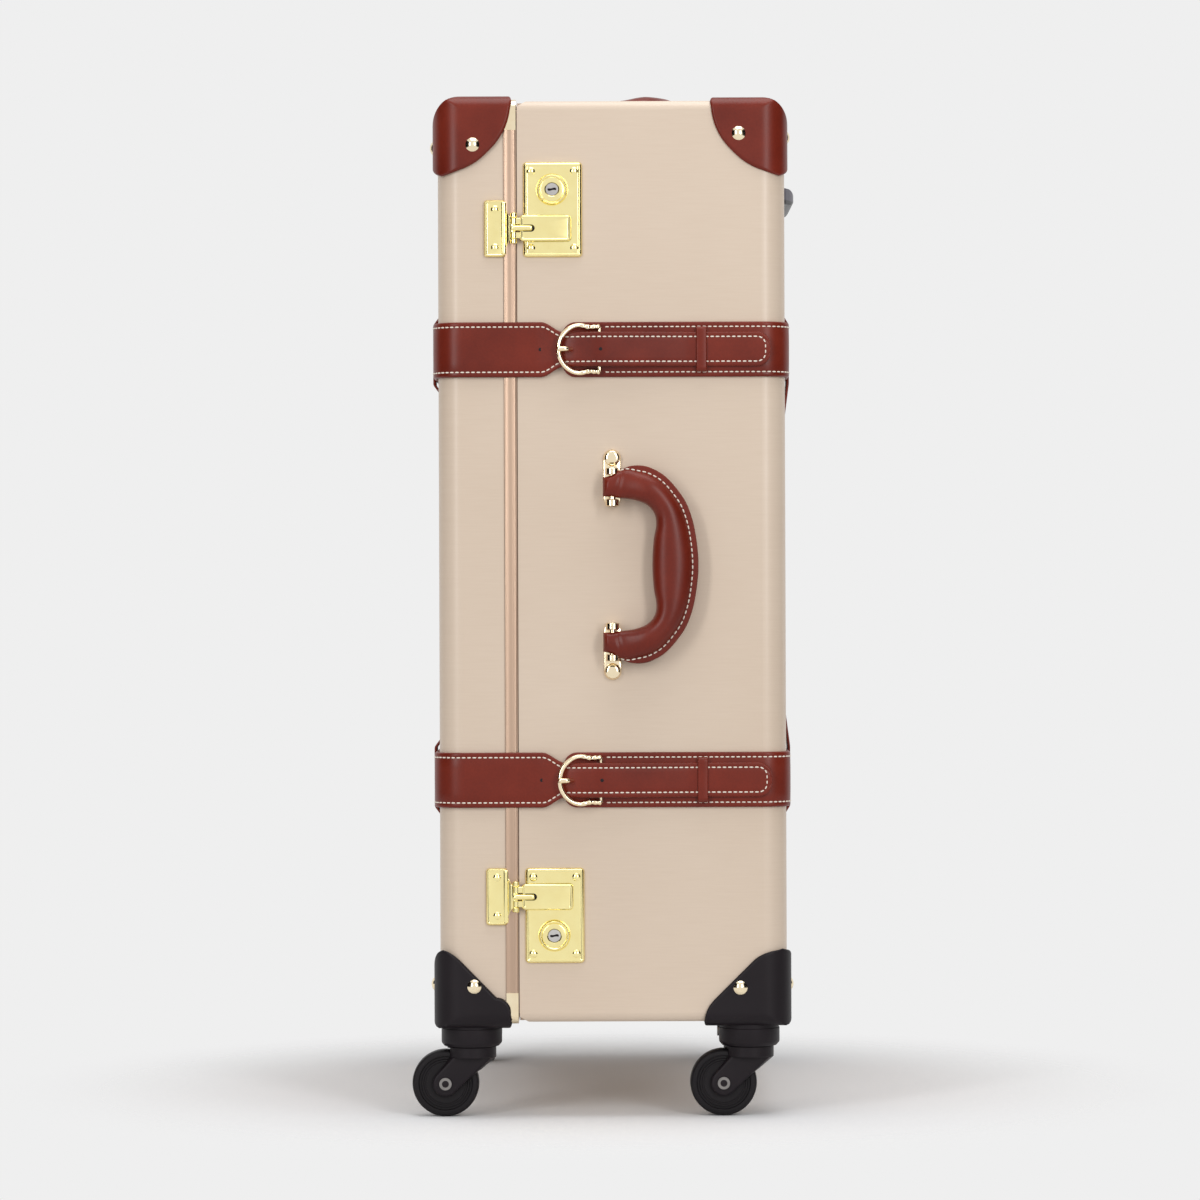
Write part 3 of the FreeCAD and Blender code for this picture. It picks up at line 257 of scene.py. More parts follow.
def leather_paint(wire):
    """Red-brown bridle leather: cloudy dye, small pores and a waxed surface."""
    cloud = wire.noise(38, 4)
    speck = wire.noise(1.6, 4)
    tone = wire.clamp(cloud * 1.3 + speck * 0.5 - 0.4)
    colour = wire.mix(tone, linear(90, 22, 9), linear(127, 40, 21))
    pores = wire.clamp(wire.cells(0.9) * 1.6)
    height = pores * 0.6 + wire.noise(0.5, 3) * 0.4
    rough = 0.26 + cloud * 0.16
    return {"Base Color": colour, "Roughness": rough, "Normal": wire.bump(height, 0.05, 0.45)}


def metal_paint(bright, dull, rough, streak=(1, 1, 1)):
    """A plated metal: two close tones and a fine rub that varies its gloss."""

    def paint(wire):
        rub = wire.noise(9, 4, streak)
        colour = wire.mix(wire.clamp(rub * 1.6 - 0.3), dull, bright)
        fine = wire.noise(2.5, 3, streak)
        return {
            "Base Color": colour,
            "Roughness": rough + rub * 0.08,
            "Normal": wire.bump(fine, 0.006, 0.15),
        }

    return paint


def plastic_paint(dark, pale, rough, grain, depth):
    """Moulded plastic: a fine spark-eroded texture and a slight bloom."""

    def paint(wire):
        bloom = wire.noise(45, 3)
        colour = wire.mix(wire.clamp(bloom * 1.5 - 0.25), dark, pale)
        texture = wire.noise(grain, 3)
        return {
            "Base Color": colour,
            "Roughness": rough + bloom * 0.12,
            "Normal": wire.bump(texture, depth, 0.5),
        }

    return paint


def grip_paint_with_shade(wire):
    """Satin grey plastic with a fine moulded texture, and painted shade: below a level its underside is near
    black.
    """
    place = wire.node("TexCoord", output="Object")
    level = wire.node("SeparateXYZ", sockets={"Vector": place}, output="Z")
    low, high = (z * MM for z in grip_shade_edge)
    upper = wire.node("MapRange", sockets={"Value": level, "From Min": low, "From Max": high})
    bloom = wire.noise(45, 3)
    # painted shade: near black below the band, grey above it
    colour = wire.mix(upper, linear(22, 17, 21), linear(78, 73, 86))
    return {
        "Base Color": colour,
        "Roughness": 0.3 + bloom * 0.12,
        "Normal": wire.bump(wire.noise(0.6, 3), 0.04, 0.5),
    }


def cloth_paint(wire):
    """Woven lining: crossing threads with a slub that lightens some of them."""
    place = wire.node("TexCoord", output="Object")
    thread = 1 / (0.9 * MM)
    warp = wire.node("TexWave", {"bands_direction": "Z"}, {"Vector": place, "Scale": thread / 2})
    weft = wire.node("TexWave", {"bands_direction": "DIAGONAL"}, {"Vector": place, "Scale": thread / 2})
    height = warp * 0.5 + weft * 0.5
    slub = wire.noise(3, 3, (1, 1, 6))
    tone = wire.clamp(height * 0.4 + slub * 0.8 - 0.1)
    colour = wire.mix(tone, linear(150, 128, 106), linear(190, 170, 146))
    return {"Base Color": colour, "Normal": wire.bump(height, 0.12, 0.6)}


def thread_paint(wire):
    """Waxed cream thread with a faint twist."""
    tone = wire.noise(1.2, 3)
    colour = wire.mix(tone, linear(232, 218, 200), linear(253, 246, 234))
    return {"Base Color": colour, "Normal": wire.bump(wire.noise(0.4, 2), 0.05, 0.5)}


gold = metal_paint((1.0, 0.89, 0.44, 1), (0.97, 0.83, 0.38, 1), 0.14)
pale_gold = metal_paint((0.97, 0.85, 0.61, 1), (0.9, 0.74, 0.5, 1), 0.1)
rose_gold = metal_paint((0.55, 0.39, 0.29, 1), (0.48, 0.34, 0.25, 1), 0.34, (1, 0.02, 0.02))
dark_steel = metal_paint((0.34, 0.32, 0.31, 1), (0.22, 0.21, 0.2, 1), 0.25)
bright_steel = metal_paint((0.68, 0.66, 0.64, 1), (0.5, 0.48, 0.47, 1), 0.2)
drawn_tube = metal_paint((0.82, 0.82, 0.83, 1), (0.7, 0.7, 0.72, 1), 0.28, (8, 8, 0.2))
black = plastic_paint(linear(22, 16, 20), linear(31, 25, 29), 0.38, 0.5, 0.04)
rubber = plastic_paint(linear(18, 15, 17), linear(27, 23, 26), 0.45, 0.8, 0.05)
coated = {"Coat Weight": 0.15, "Coat Roughness": 0.2}
waxed = {"Specular IOR Level": 0.3}
metallic = {"Metallic": 1.0}
satin = {"Specular IOR Level": 0.2}
# One finish for each material slot, and two that only the dressing has: axle_steel and thread
finishes = {
    "case_covering": material("case_covering", coated, board_paint),
    "leather": material("leather", waxed, leather_paint),
    "gold_plate": material("gold_plate", metallic, gold),
    "pale_metal": material("pale_metal", metallic, pale_gold),
    "rim_metal": material("rim_metal", metallic, rose_gold),
    "steel": material("steel", metallic, bright_steel),
    "axle_steel": material("axle_steel", metallic, dark_steel),
    "tube_aluminium": material("tube_aluminium", metallic, drawn_tube),
    "black_plastic": material("black_plastic", satin, black),
    "grip_plastic": material("grip_plastic", {"Specular IOR Level": 0.35}, grip_paint_with_shade),
    "wheel_rubber": material("wheel_rubber", satin, rubber),
    "lining_cloth": material("lining_cloth", {"Roughness": 0.9}, cloth_paint),
    "thread": material("thread", {"Roughness": 0.7}, thread_paint),
}


def quads(rows, columns):
    """Faces of a grid of points whose rows close on themselves."""
    row, column = np.meshgrid(np.arange(rows - 1), np.arange(columns), indexing="ij")
    after = (column + 1) % columns
    corners = [row * columns + column, row * columns + after]
    corners += [(row + 1) * columns + after, (row + 1) * columns + column]
    return np.stack(corners, -1).reshape(-1, 4)


def skin(rings, closed=False):
    """A patch over rings of points: joined end to end if closed, and capped at both ends if not."""
    rows, columns, _ = rings.shape
    points = rings.reshape(-1, 3)
    if closed:
        return points, quads(rows + 1, columns) % (rows * columns), []
    last = np.arange((rows - 1) * columns, rows * columns)
    return points, quads(rows, columns), [np.arange(columns)[::-1], last]


def linked(name, data):
    """A new object in the scene with the given data."""
    made = bpy.data.objects.new(name, data)
    scene.collection.objects.link(made)
    return made


def piece(name, patches, finish, body=None, stands_for=(), sharp=40):
    """One mesh object from patches of points, four-sided faces and caps. If given, it rides on a body
    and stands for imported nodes."""
    starts = np.cumsum([0] + [len(points) for points, _, _ in patches])
    points = np.concatenate([points for points, _, _ in patches]) * MM
    faces = np.concatenate([sides + start for (_, sides, _), start in zip(patches, starts)]).tolist()
    faces += [(cap + start).tolist() for (_, _, caps), start in zip(patches, starts) for cap in caps]
    mesh = bpy.data.meshes.new(name)
    mesh.from_pydata(points, [], faces)
    work = bmesh.new()
    work.from_mesh(mesh)
    bmesh.ops.remove_doubles(work, verts=work.verts, dist=0.002 * MM)
    bmesh.ops.dissolve_degenerate(work, edges=work.edges, dist=0.002 * MM)
    bmesh.ops.recalc_face_normals(work, faces=work.faces)
    work.to_mesh(mesh)
    work.free()
    mesh.shade_smooth()
    mesh.set_sharp_from_angle(angle=math.radians(sharp))
    mesh.materials.append(finishes[finish])
    made = linked(name, mesh)
    if body:
        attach(made, body)
    if stands_for:
        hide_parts(*stands_for)
    return made


def unit(vectors):
    """Vectors scaled to length one."""
    return vectors / np.maximum(np.linalg.norm(vectors, axis=-1, keepdims=True), 1e-9)


def ease(value, start, end):
    """Goes smoothly from 0 at start to 1 at end."""
    t = np.clip((value - start) / (end - start), 0, 1)
    return t * t * (3 - 2 * t)


def run_length(points):
    """Distance travelled along a line of points, at each of them."""
    return np.concatenate([[0], np.cumsum(np.linalg.norm(np.diff(points, axis=0), axis=1))])


def from_nearer_end(points):
    """Distance along a line of points from the nearer of its two ends."""
    run = run_length(points)
    return np.minimum(run, run[-1] - run)


def spaced(points, share, run=None):
    """Values along a line at the given shares of its length: the line is the points themselves, unless its
    distances are given."""
    run = run_length(points) if run is None else run
    return np.stack([np.interp(share * run[-1], run, column) for column in points.T], -1)


def evenly(points, count):
    """A line of points with equal steps between them."""
    return spaced(points, np.linspace(0, 1, count))


def close_at_ends(points, count):
    """A line of points whose steps shorten towards both ends, as a half turn seen from its side."""
    return spaced(points, 0.5 - 0.5 * np.cos(np.linspace(0, math.pi, count)))


def smooth_curve(knots, count):
    """A soft curve through knots: a cubic between neighbours with the slope of the knots around it,
    spaced evenly along its length."""
    knots = np.asarray(knots, float)
    ends = np.concatenate([2 * knots[:1] - knots[1:2], knots, 2 * knots[-1:] - knots[-2:-1]])
    t = np.linspace(0, len(knots) - 1, 40 * len(knots))
    i = np.minimum(t.astype(int), len(knots) - 2)
    f = (t - i)[:, None]
    a, b, c, d = ends[i], ends[i + 1], ends[i + 2], ends[i + 3]
    dense = b + 0.5 * f * (c - a + f * (2 * a - 5 * b + 4 * c - d + f * (3 * (b - c) + d - a)))
    return evenly(dense, count)


def and_mirror(half):
    """A line of (u, v) from one end to its middle, run on by its mirror image in v."""
    return np.concatenate([half, half[-2::-1] * [1, -1]])


def rounded_line(corners, steps=9):
    """A line through corners (u, v, radius) with each inner corner rounded by an arc of its radius."""
    points = [np.array(corners[0][:2], float)[None]]
    for before, here, after in zip(corners, corners[1:], corners[2:]):
        corner, radius = np.array(here[:2], float), max(here[2], 0.05)
        back, ahead = (unit(np.array(other[:2]) - corner) for other in (before, after))
        half = math.acos(np.clip(back @ ahead, -1, 1)) / 2
        middle = corner + unit(back + ahead) * radius / math.sin(half)
        start = corner + back * radius / math.tan(half) - middle
        end = corner + ahead * radius / math.tan(half) - middle
        swing = np.linspace(0, math.pi - 2 * half, steps)[:, None]
        normal = unit(end - start * (start @ end) / radius**2)
        points.append(middle + start * np.cos(swing) + normal * radius * np.sin(swing))
    points.append(np.array(corners[-1][:2], float)[None])
    return np.concatenate(points)


def rounded_loop(half_u, half_v, radius, steps=8):
    """Points round a rectangle with rounded corners: a quarter circle about each corner's centre."""
    radius = min(radius, half_u, half_v)
    angle = np.linspace(0, math.pi / 2, steps)
    quarter = np.arange(4)[:, None] * math.pi / 2 + angle
    u = radius * np.cos(quarter) + (half_u - radius) * np.array([1, -1, -1, 1])[:, None]
    v = radius * np.sin(quarter) + (half_v - radius) * np.array([1, 1, -1, -1])[:, None]
    return np.stack([u, v], -1).reshape(-1, 2)


def carried(path, outward, across, offsets, heights):
    """A profile carried along a path: each ring is path + across * offset + outward * height."""
    offsets = np.broadcast_to(offsets, (len(path), np.shape(offsets)[-1]))
    heights = np.broadcast_to(heights, (len(path), np.shape(heights)[-1]))
    across = np.broadcast_to(across, path.shape)
    return path[:, None] + across[:, None] * offsets[..., None] + outward[:, None] * heights[..., None]


def wire_rings(path, radius, sides=14):
    """A round wire along a path; its circles turn with the path and keep one side towards the locks."""
    along = unit(np.gradient(path, axis=0))
    side = unit(np.cross(along, to_locks + 0.02 * upward))
    over = np.cross(side, along)
    angle = np.linspace(0, 2 * math.pi, sides, endpoint=False)
    radius = np.broadcast_to(radius, len(path))[:, None]
    return carried(path, over, side, radius * np.cos(angle), radius * np.sin(angle))


def turned(centre, axis, profile, sides=48):
    """A profile of radius and height turned about an axis through a centre."""
    axis = unit(np.array(axis, float))
    first = unit(np.cross(axis, upward if abs(axis[2]) < 0.9 else to_back))
    second = np.cross(axis, first)
    angle = np.linspace(0, 2 * math.pi, sides, endpoint=False)
    circle = np.cos(angle)[:, None] * first + np.sin(angle)[:, None] * second
    radius, height = np.array(profile, float).T
    return np.array(centre) + radius[:, None, None] * circle + height[:, None, None] * axis


def both_faces(profile):
    """A profile of radius and height, run on by its mirror image in height."""
    return profile + [(radius, -height) for radius, height in reversed(profile)]


def barrel(centre, axis, radius, length, bevel=0.4, sides=32):
    """A short round bar with softened ends, centred on a point."""
    half = length / 2
    profile = both_faces([(0.01, -half), (radius - bevel, -half), (radius, bevel - half)])
    return skin(turned(centre, axis, profile, sides))


def raised(loop, height):
    """A loop of (u, v) as points (u, v, height)."""
    return np.column_stack([loop, np.full(len(loop), height)])


def pressed(half_u, half_v, radius, steps, slot=None):
    """A pressed plate as rings of (u, v, height): rounded rectangles, each given as how far it lies
    inside the plate's edge and how high it stands. A slot (u, half length, half width, bottom) is a
    long hole that the last ring runs into and that then goes down to its bottom."""
    rings = []
    for inset, height in steps:
        loop = rounded_loop(half_u - inset, half_v - inset, max(radius - inset, 0.4))
        rings.append(raised(loop, height))
    if slot:
        place, long, wide, bottom = slot
        top = steps[-1][1]
        loop = rounded_loop(long, wide, wide)
        for grow, height in ((1.0, top), (0.95, top - 0.3), (0.95, bottom)):
            rings.append(raised(loop * grow + [place, 0], height))
    return np.array(rings)


def stood(points, origin, on_top=False):
    """Places points (u, v, height) on the lock side of the case, or on its top: u runs along X, v up
    the side or away across the top, and height outwards."""
    u, v, height = np.moveaxis(points, -1, 0)
    if on_top:
        return np.stack([origin[0] + u, origin[1] + v, high_z + height], -1)
    return np.stack([origin[0] + u, near_y - height, origin[1] + v], -1)


def flat_bar(half, sheet):
    """Section of a flat strip with round edges at each half width, as offsets and heights."""
    steps = 6
    bend = np.linspace(-math.pi / 2, math.pi / 2, steps)
    side = np.repeat([1, -1], steps)
    half = np.atleast_1d(half)[:, None]
    offsets = side * (half - sheet / 2 + sheet / 2 * np.concatenate([np.cos(bend)] * 2))
    return offsets, sheet / 2 * np.concatenate([np.sin(bend), np.sin(bend[::-1])])


def band(corners, origin, across, outward, level, width, sheet):
    """A strip bent along a rounded line (t, height) in the plane of two directions, and as wide as given
    across that plane: its section is a flat bar."""
    line = evenly(rounded_line(corners), 60)
    slope = unit(np.gradient(line, axis=0))
    path = origin + line[:, :1] * level + line[:, 1:] * outward
    up = slope[:, :1] * outward - slope[:, 1:] * level
    return skin(carried(path, up, across, *flat_bar(width / 2, sheet)))


def stitches(line, outward, pitch=stitch_pitch):
    """Stitches along a line: short arched capsules, six-sided, whose ends dip into the leather."""
    sides = 6
    run = run_length(line)
    count = max(int(run[-1] / pitch), 1)
    share = (np.arange(count) + 0.5) / count
    place = spaced(line, share)
    direction = spaced(unit(np.gradient(line, axis=0)), share, run)
    up = spaced(outward, share, run)
    side = unit(np.cross(direction, up))
    station = np.array([-0.5, -0.32, 0.0, 0.32, 0.5]) * stitch_length
    girth = np.array([0.35, 0.95, 1.0, 0.95, 0.35]) * stitch_radius
    lift = np.array([-0.6, 0.1, 0.25, 0.1, -0.6]) * stitch_radius
    angle = np.arange(sides) * 2 * math.pi / sides
    aside = girth[:, None] * np.cos(angle)
    above = girth[:, None] * np.sin(angle) + lift[:, None]
    points = (
        place[:, None, None]
        + direction[:, None, None] * station[None, :, None, None]
        + side[:, None, None] * aside[None, ..., None]
        + up[:, None, None] * above[None, ..., None]
    )
    each = len(station) * sides
    starts = np.arange(count)[:, None, None] * each
    ends = np.array([[3, 2, 1, 0], [5, 4, 3, 0]])
    faces = np.concatenate([quads(len(station), sides), ends, ends[:, ::-1] + each - sides])
    return points.reshape(-1, 3), (faces[None] + starts).reshape(-1, 4), []


def case_distance(points, side_round):
    """How far points lie outside the case: the greatest of the distances from its three rounded outlines."""
    q = np.abs(points - case_middle)
    reach = []
    for i, j, radius in ((0, 2, side_round), (0, 1, edge_round), (1, 2, corner_round)):
        over = q[..., [i, j]] - (case_half[[i, j]] - radius)
        outside = np.linalg.norm(np.maximum(over, 0), axis=-1)
        reach.append(outside + np.minimum(over.max(-1), 0) - radius)
    return np.max(reach, axis=0)


def on_case(start, direction, height, side_round):
    """Where rays from a start inside the case reach a height over its surface, found by halving."""
    farthest = 300.0
    halvings = 40
    low = np.zeros(direction.shape[:-1])
    high = np.full_like(low, farthest)
    for _ in range(halvings):
        middle = (low + high) / 2
        inside = case_distance(start + middle[..., None] * direction, side_round) < height
        low = np.where(inside, middle, low)
        high = np.where(inside, high, middle)
    return start + low[..., None] * direction


def cover_edge(profile, under_round):
    """Outline of a corner cover as distances from the corner: over one upright face, over the other, and
    back over the level face with one rounded corner."""
    reach = profile[0][0]
    side = close_at_ends(rounded_line(profile), 64)
    under = [(0, reach, 0), (reach, reach, under_round), (reach, 0, 0)]
    flat = close_at_ends(rounded_line(under), 48)
    zero = np.zeros(len(side))
    first = np.stack([side[:, 0], zero, side[:, 1]], -1)
    second = np.stack([zero, side[::-1, 0], side[::-1, 1]], -1)
    return np.concatenate([first[:-1], second[:-1], raised(flat, 0.0)[:-1]])


def corner_cover(profile, under_round, signs, low, sheet, lip, side_round=edge_round):
    """A cover over one corner of the case. Rays fan out from inside the case through the corner and
    through the cover's outline; between them the rings go out from the corner, over a lip of the given
    radius at the outline, and back underneath."""
    fan_depth = 78.0
    usual_reach = 60.0
    signs = np.array(signs)
    corner = case_middle + signs * case_half
    edge = corner - signs * cover_edge(profile, under_round)
    hub = corner - signs * fan_depth
    out = np.concatenate([[0.001], np.linspace(0.04, 0.9, 19), [0.94, 0.965]])
    turn = np.linspace(0, math.pi / 2, 5)
    over_lip = 1 - lip * (1 - np.sin(turn)) / usual_reach
    underneath = [0.97, 0.5, 0.001]
    fan = np.concatenate([out, over_lip, underneath])
    height = np.concatenate([np.full(len(out), sheet), sheet - lip * (1 - np.cos(turn)), np.zeros(3)])
    aim = corner + (edge - corner) * fan[:, None, None]
    return skin(on_case(hub, unit(aim - hub), (low + height)[:, None], side_round))


def leather_corners():
    """Leather over the upper corners: a bowed triangle on each of the three faces."""
    outline = [
        (leather_reach, 0, 0),
        (leather_reach, leather_drop - leather_cut, leather_bow),
        (leather_reach - leather_cut, leather_drop, leather_bow),
        (0, leather_drop, 0),
    ]
    under_round, lip = 22.0, 1.4
    for name, sign in (("lid", -1), ("base", 1)):
        shape = (cover_low[name], leather_sheet, lip)
        covers = [corner_cover(outline, under_round, (sign, y, 1), *shape) for y in (-1, 1)]
        piece(name + "_corner_leather", covers, "leather", name, [name + "_leather_corners"])


def wheel_housings():
    """Black corners that carry the casters: a moulded cover with a turned collar under it."""
    outlines = {
        "lid": [(54.0, 0, 0), (54.0, 20.4, 9.0), (44.4, 20.4, 0.4), (12.5, 53.0, 22.0), (0, 53.0, 0)],
        "base": [(62.2, 0, 0), (62.2, 11.5, 20.0), (20.3, 53.0, 22.0), (0, 53.0, 0)],
    }
    under_round, lip = 14.0, 1.1
    for name, end, sign in (("lid", "front", -1), ("base", "back", 1)):
        low = cover_low[name]
        side_round = housing_edge_round - low - housing_sheet
        top = collar_drop - low - 0.5
        collar = [
            (collar_radius - 2.2, 0.0),
            (collar_radius - 0.3, 2.2),
            (collar_radius, 3.2),
            (collar_radius, 13.0),
            (collar_radius - 0.5, 13.4),
            (collar_radius - 0.5, top),
            (stem_radius, top),
            (stem_radius, 0.0),
        ]
        patches = []
        for y, side in ((-1, "lock"), (1, "hinge")):
            shape = ((sign, y, -1), low, housing_sheet, lip, side_round)
            patches.append(corner_cover(outlines[name], under_round, *shape))
            stem = joint_at[f"{end}_{side}_swivel"]
            patches.append(skin(turned((*stem[:2], low_z - collar_drop), upward, collar, 64), closed=True))
        piece(name + "_wheel_housings", patches, "black_plastic", name, [name + "_wheel_corners"], 30)


def wrap(side, x_far, x_near, step):
    """A level line round one shell, from its hinge side over the front or back to its lock side, with
    the direction outwards at each point."""
    face = front_x if side < 0 else back_x
    bend = face - side * edge_round
    turn = np.radians(np.linspace(90, 180 if side < 0 else 0, 12))
    far_run = np.linspace(x_far, bend, max(int(abs(bend - x_far) / step), 2))
    near_run = np.linspace(bend, x_near, max(int(abs(x_near - bend) / step), 2))
    cross = np.linspace(far_y - edge_round, near_y + edge_round, int(2 * case_half[1] / step))[1:-1]
    angles = [np.full(len(far_run) - 1, math.pi / 2), turn, np.full(len(cross), turn[-1])]
    angles += [2 * turn[-1] - turn[::-1], np.full(len(near_run) - 1, 2 * turn[-1] - turn[0])]
    x = [far_run[:-1], bend + edge_round * np.cos(turn), np.full(len(cross), face)]
    x += [bend + edge_round * np.cos(angles[3]), near_run[1:]]
    y = [np.full(len(far_run) - 1, far_y), far_y - edge_round + edge_round * np.sin(turn), cross]
    y += [near_y + edge_round + edge_round * np.sin(angles[3]), np.full(len(near_run) - 1, near_y)]
    angle = np.concatenate(angles)
    outward = np.stack([np.cos(angle), np.sin(angle), np.zeros(len(angle))], -1)
    return np.stack([np.concatenate(x), np.concatenate(y), np.zeros(len(angle))], -1), outward


def belt(path, outward, half, low):
    """A strap along a level path, on the given heights: its section has round edges, a stitch groove
    inside each of them and a crowned top."""
    groove_depth, crown = 0.22, 0.15
    bend = strap_sheet / 2
    turn = np.linspace(-math.pi / 2, math.pi / 2, 7)
    groove = bend - stitch_inset + np.array([1.0, 0.5, 0.0, -0.5, -1.0])
    right = np.concatenate([bend * np.cos(turn), groove])
    dip = strap_sheet - groove_depth * np.array([0, 0.7, 1, 0.7, 0])
    tall = np.concatenate([bend + bend * np.sin(turn), dip])
    middle = np.array([0.5, 0.0, -0.5])
    share = np.concatenate([np.ones(len(right)), middle, -np.ones(len(right)), [0.0]])
    offset = np.concatenate([right, np.zeros(3), -right[::-1], [0.0]])
    height = np.concatenate([tall, strap_sheet + crown * (1 - middle**2), tall[::-1], [0.0]])
    offsets = share * np.maximum(half[:, None] - bend, 0.05) + offset
    return skin(carried(path, outward, upward, offsets, low[:, None] + height))


def stitch_rows(path, outward, half, low):
    """Lines for the upper and the lower row of stitches along a strap, sunk a little into its groove."""
    sink = 0.1
    top = path + outward * (low + strap_sheet - sink)[:, None]
    inset = (half - stitch_inset)[:, None]
    return [top + side * upward * inset for side in (1, -1)]


def tail_heights(name):
    """Where a tail's underside lies along X: from the lid strap down to the base strap, over the buckle
    bar and down again, in straight runs that a bell-shaped average softens."""
    fold = joint_at[name + "_strap_fold"][0]
    bar = joint_at[name + "_buckle_swing"][0]
    tip = span(name + "_strap_tail")[1][0]
    stops = [
        (fold, lid_strap_low + 0.2),
        (split_x + 14, lid_strap_low + 0.2),
        (split_x + 32, tail_low),
        (bar - 19, tail_low + 2.6),
        (bar - 3, tail_hump),
        (bar + 3, tail_hump),
        (bar + 66, tail_low),
        (tip, tail_low),
    ]
    x = np.arange(fold - 60, tip + 30, 0.5)
    bell = np.hanning(25)
    straight = np.pad(np.interp(x, *np.transpose(stops)), len(bell) // 2, mode="edge")
    return x, np.convolve(straight, bell / bell.sum(), mode="valid")


def round_end(path, outward, way, radius, degrees):
    """A strap's line run on by a round end, in steps of radius * sin(angle) along X. Also gives how much
    the strap narrows on each side there, radius * (1 - cos(angle)), and nothing before it."""
    turn = np.radians(degrees)
    end = path[-1] + np.outer(way * radius * np.sin(turn), to_back)
    facing = np.tile(outward[-1], (len(turn), 1))
    trim = np.concatenate([np.zeros(len(path)), radius * (1 - np.cos(turn))])
    return np.concatenate([path, end]), np.concatenate([outward, facing]), trim


def stitch_turn(start, tip, y, z):
    """The stitch line round a tail's end: out, straight across and back, with rounded corners."""
    half = tail_width / 2 - stitch_inset
    far = tip - stitch_inset
    bend = tail_end_round - stitch_inset
    corners = [(start, half, 0), (far, half, bend), (far, -half, bend), (start, -half, 0)]
    x, aside = rounded_line(corners)[1:-1].T
    return np.stack([x, np.full(len(x), y), z + aside], -1)


def lid_straps():
    """Straps round the lid that run on as tails through the buckles. A tail narrows to its own width and
    ends square with rounded corners, round which the stitches turn."""
    narrower = (strap_width - tail_width) / 2
    for name, z in strap_heights.items():
        tip = span(name + "_strap_tail")[1][0]
        straight = tip - tail_end_round
        path, outward = wrap(-1, lid_strap_end, straight, 2.0)
        path, outward, trim = round_end(path + z * upward, outward, 1, tail_end_round, np.linspace(6, 89, 14))
        on_near = outward[:, 1] < -0.99
        x = path[:, 0]
        taper = np.where(on_near, ease(x, split_x + 18, split_x + 35), 0)
        half = strap_width / 2 - narrower * taper - trim
        low = np.where(on_near, np.interp(x, *tail_heights(name)), lid_strap_low)
        strap = piece(
            name + "_lid_strap",
            [belt(path, outward, half, low)],
            "leather",
            stands_for=["lid_straps", name + "_strap_tail"],
        )
        sewn = trim == 0
        facing = outward[sewn]
        upper, lower = stitch_rows(path[sewn], facing, half[sewn], low[sewn])
        turn = stitch_turn(straight, tip, upper[-1, 1], z)
        line = np.concatenate([upper, turn, lower[::-1]])
        facing = np.concatenate([facing, np.tile(to_locks, (len(turn), 1)), facing[::-1]])
        seam = piece(name + "_lid_strap_stitching", [stitches(line, facing)], "thread")
        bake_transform(strap)
        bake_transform(seam)


def base_straps():
    """Straps round the base: each starts under its buckle with a rounded end, and the chape on it, in two
    leaves with the prong between them, bends round the buckle's bar."""
    start_x = split_x + 33.9
    end_round = 10.0
    chape = [(9.0, 3.5, 0), (2.3, 3.7, 0.8), (2.3, 7.6, 1.9)]
    chape += [(-2.3, 7.6, 1.9), (-2.3, 3.7, 0.8), (-8.0, 3.5, 0)]
    leaf_place, leaf_width, leaf_sheet = 5.4, 7.0, 0.9
    for name, z in strap_heights.items():
        bar_x = joint_at[name + "_buckle_swing"][0]
        path, outward = wrap(1, base_edge + 1.0, start_x + end_round, 5.0)
        path, outward, trim = round_end(path + z * upward, outward, -1, end_round, np.linspace(6, 86, 10))
        half = strap_width / 2 - trim
        low = np.full(len(path), base_strap_low)
        patches = [belt(path, outward, half, low)]
        for side in (-1, 1):
            origin = np.array([bar_x, near_y, z + side * leaf_place])
            patches.append(band(chape, origin, upward, to_locks, to_back, leaf_width, leaf_sheet))
        piece(name + "_base_strap", patches, "leather", "base", ["base_straps"])
        sewn = (outward[:, 1] > -0.99) | (path[:, 0] > bar_x + 2.5)
        rows = stitch_rows(path[sewn], outward[sewn], half[sewn], low[sewn])
        rows = [stitches(row, outward[sewn]) for row in rows]
        piece(name + "_base_strap_stitching", rows, "thread", "base")


def strap_hole_shades():
    """Punched holes in the tails, as painted shade: small dark plugs whose faces lie just over the leather.
    """
    plug = [(1.25, -0.6), (1.3, 0.05), (1.15, 0.14), (0.7, 0.1), (0.01, 0.08)]
    places = split_x + np.array([17.5, 62.3])
    for name, z in strap_heights.items():
        patches = []
        for x, low in zip(places, np.interp(places, *tail_heights(name))):
            centre = (x, near_y - (low + strap_sheet + 0.1), z)
            patches.append(skin(turned(centre, to_locks, plug, 16)))
        # painted shade: dark plugs in place of the holes' shade
        piece(name + "_strap_hole_shades", patches, "black_plastic", name + "_strap_tail")


def keepers():
    """Narrow leather bridges over the tails."""
    line = [(16.0, 3.0, 0), (16.0, 7.4, 2.2), (-16.0, 7.4, 2.2), (-16.0, 3.0, 0)]
    width, sheet = 7.6, 1.7
    for name, z in strap_heights.items():
        origin = np.array([back_x - keeper_inset, near_y, z])
        patch = band(line, origin, to_back, to_locks, upward, width, sheet)
        piece(name + "_keeper", [patch], "leather", "base", ["tail_keepers"])


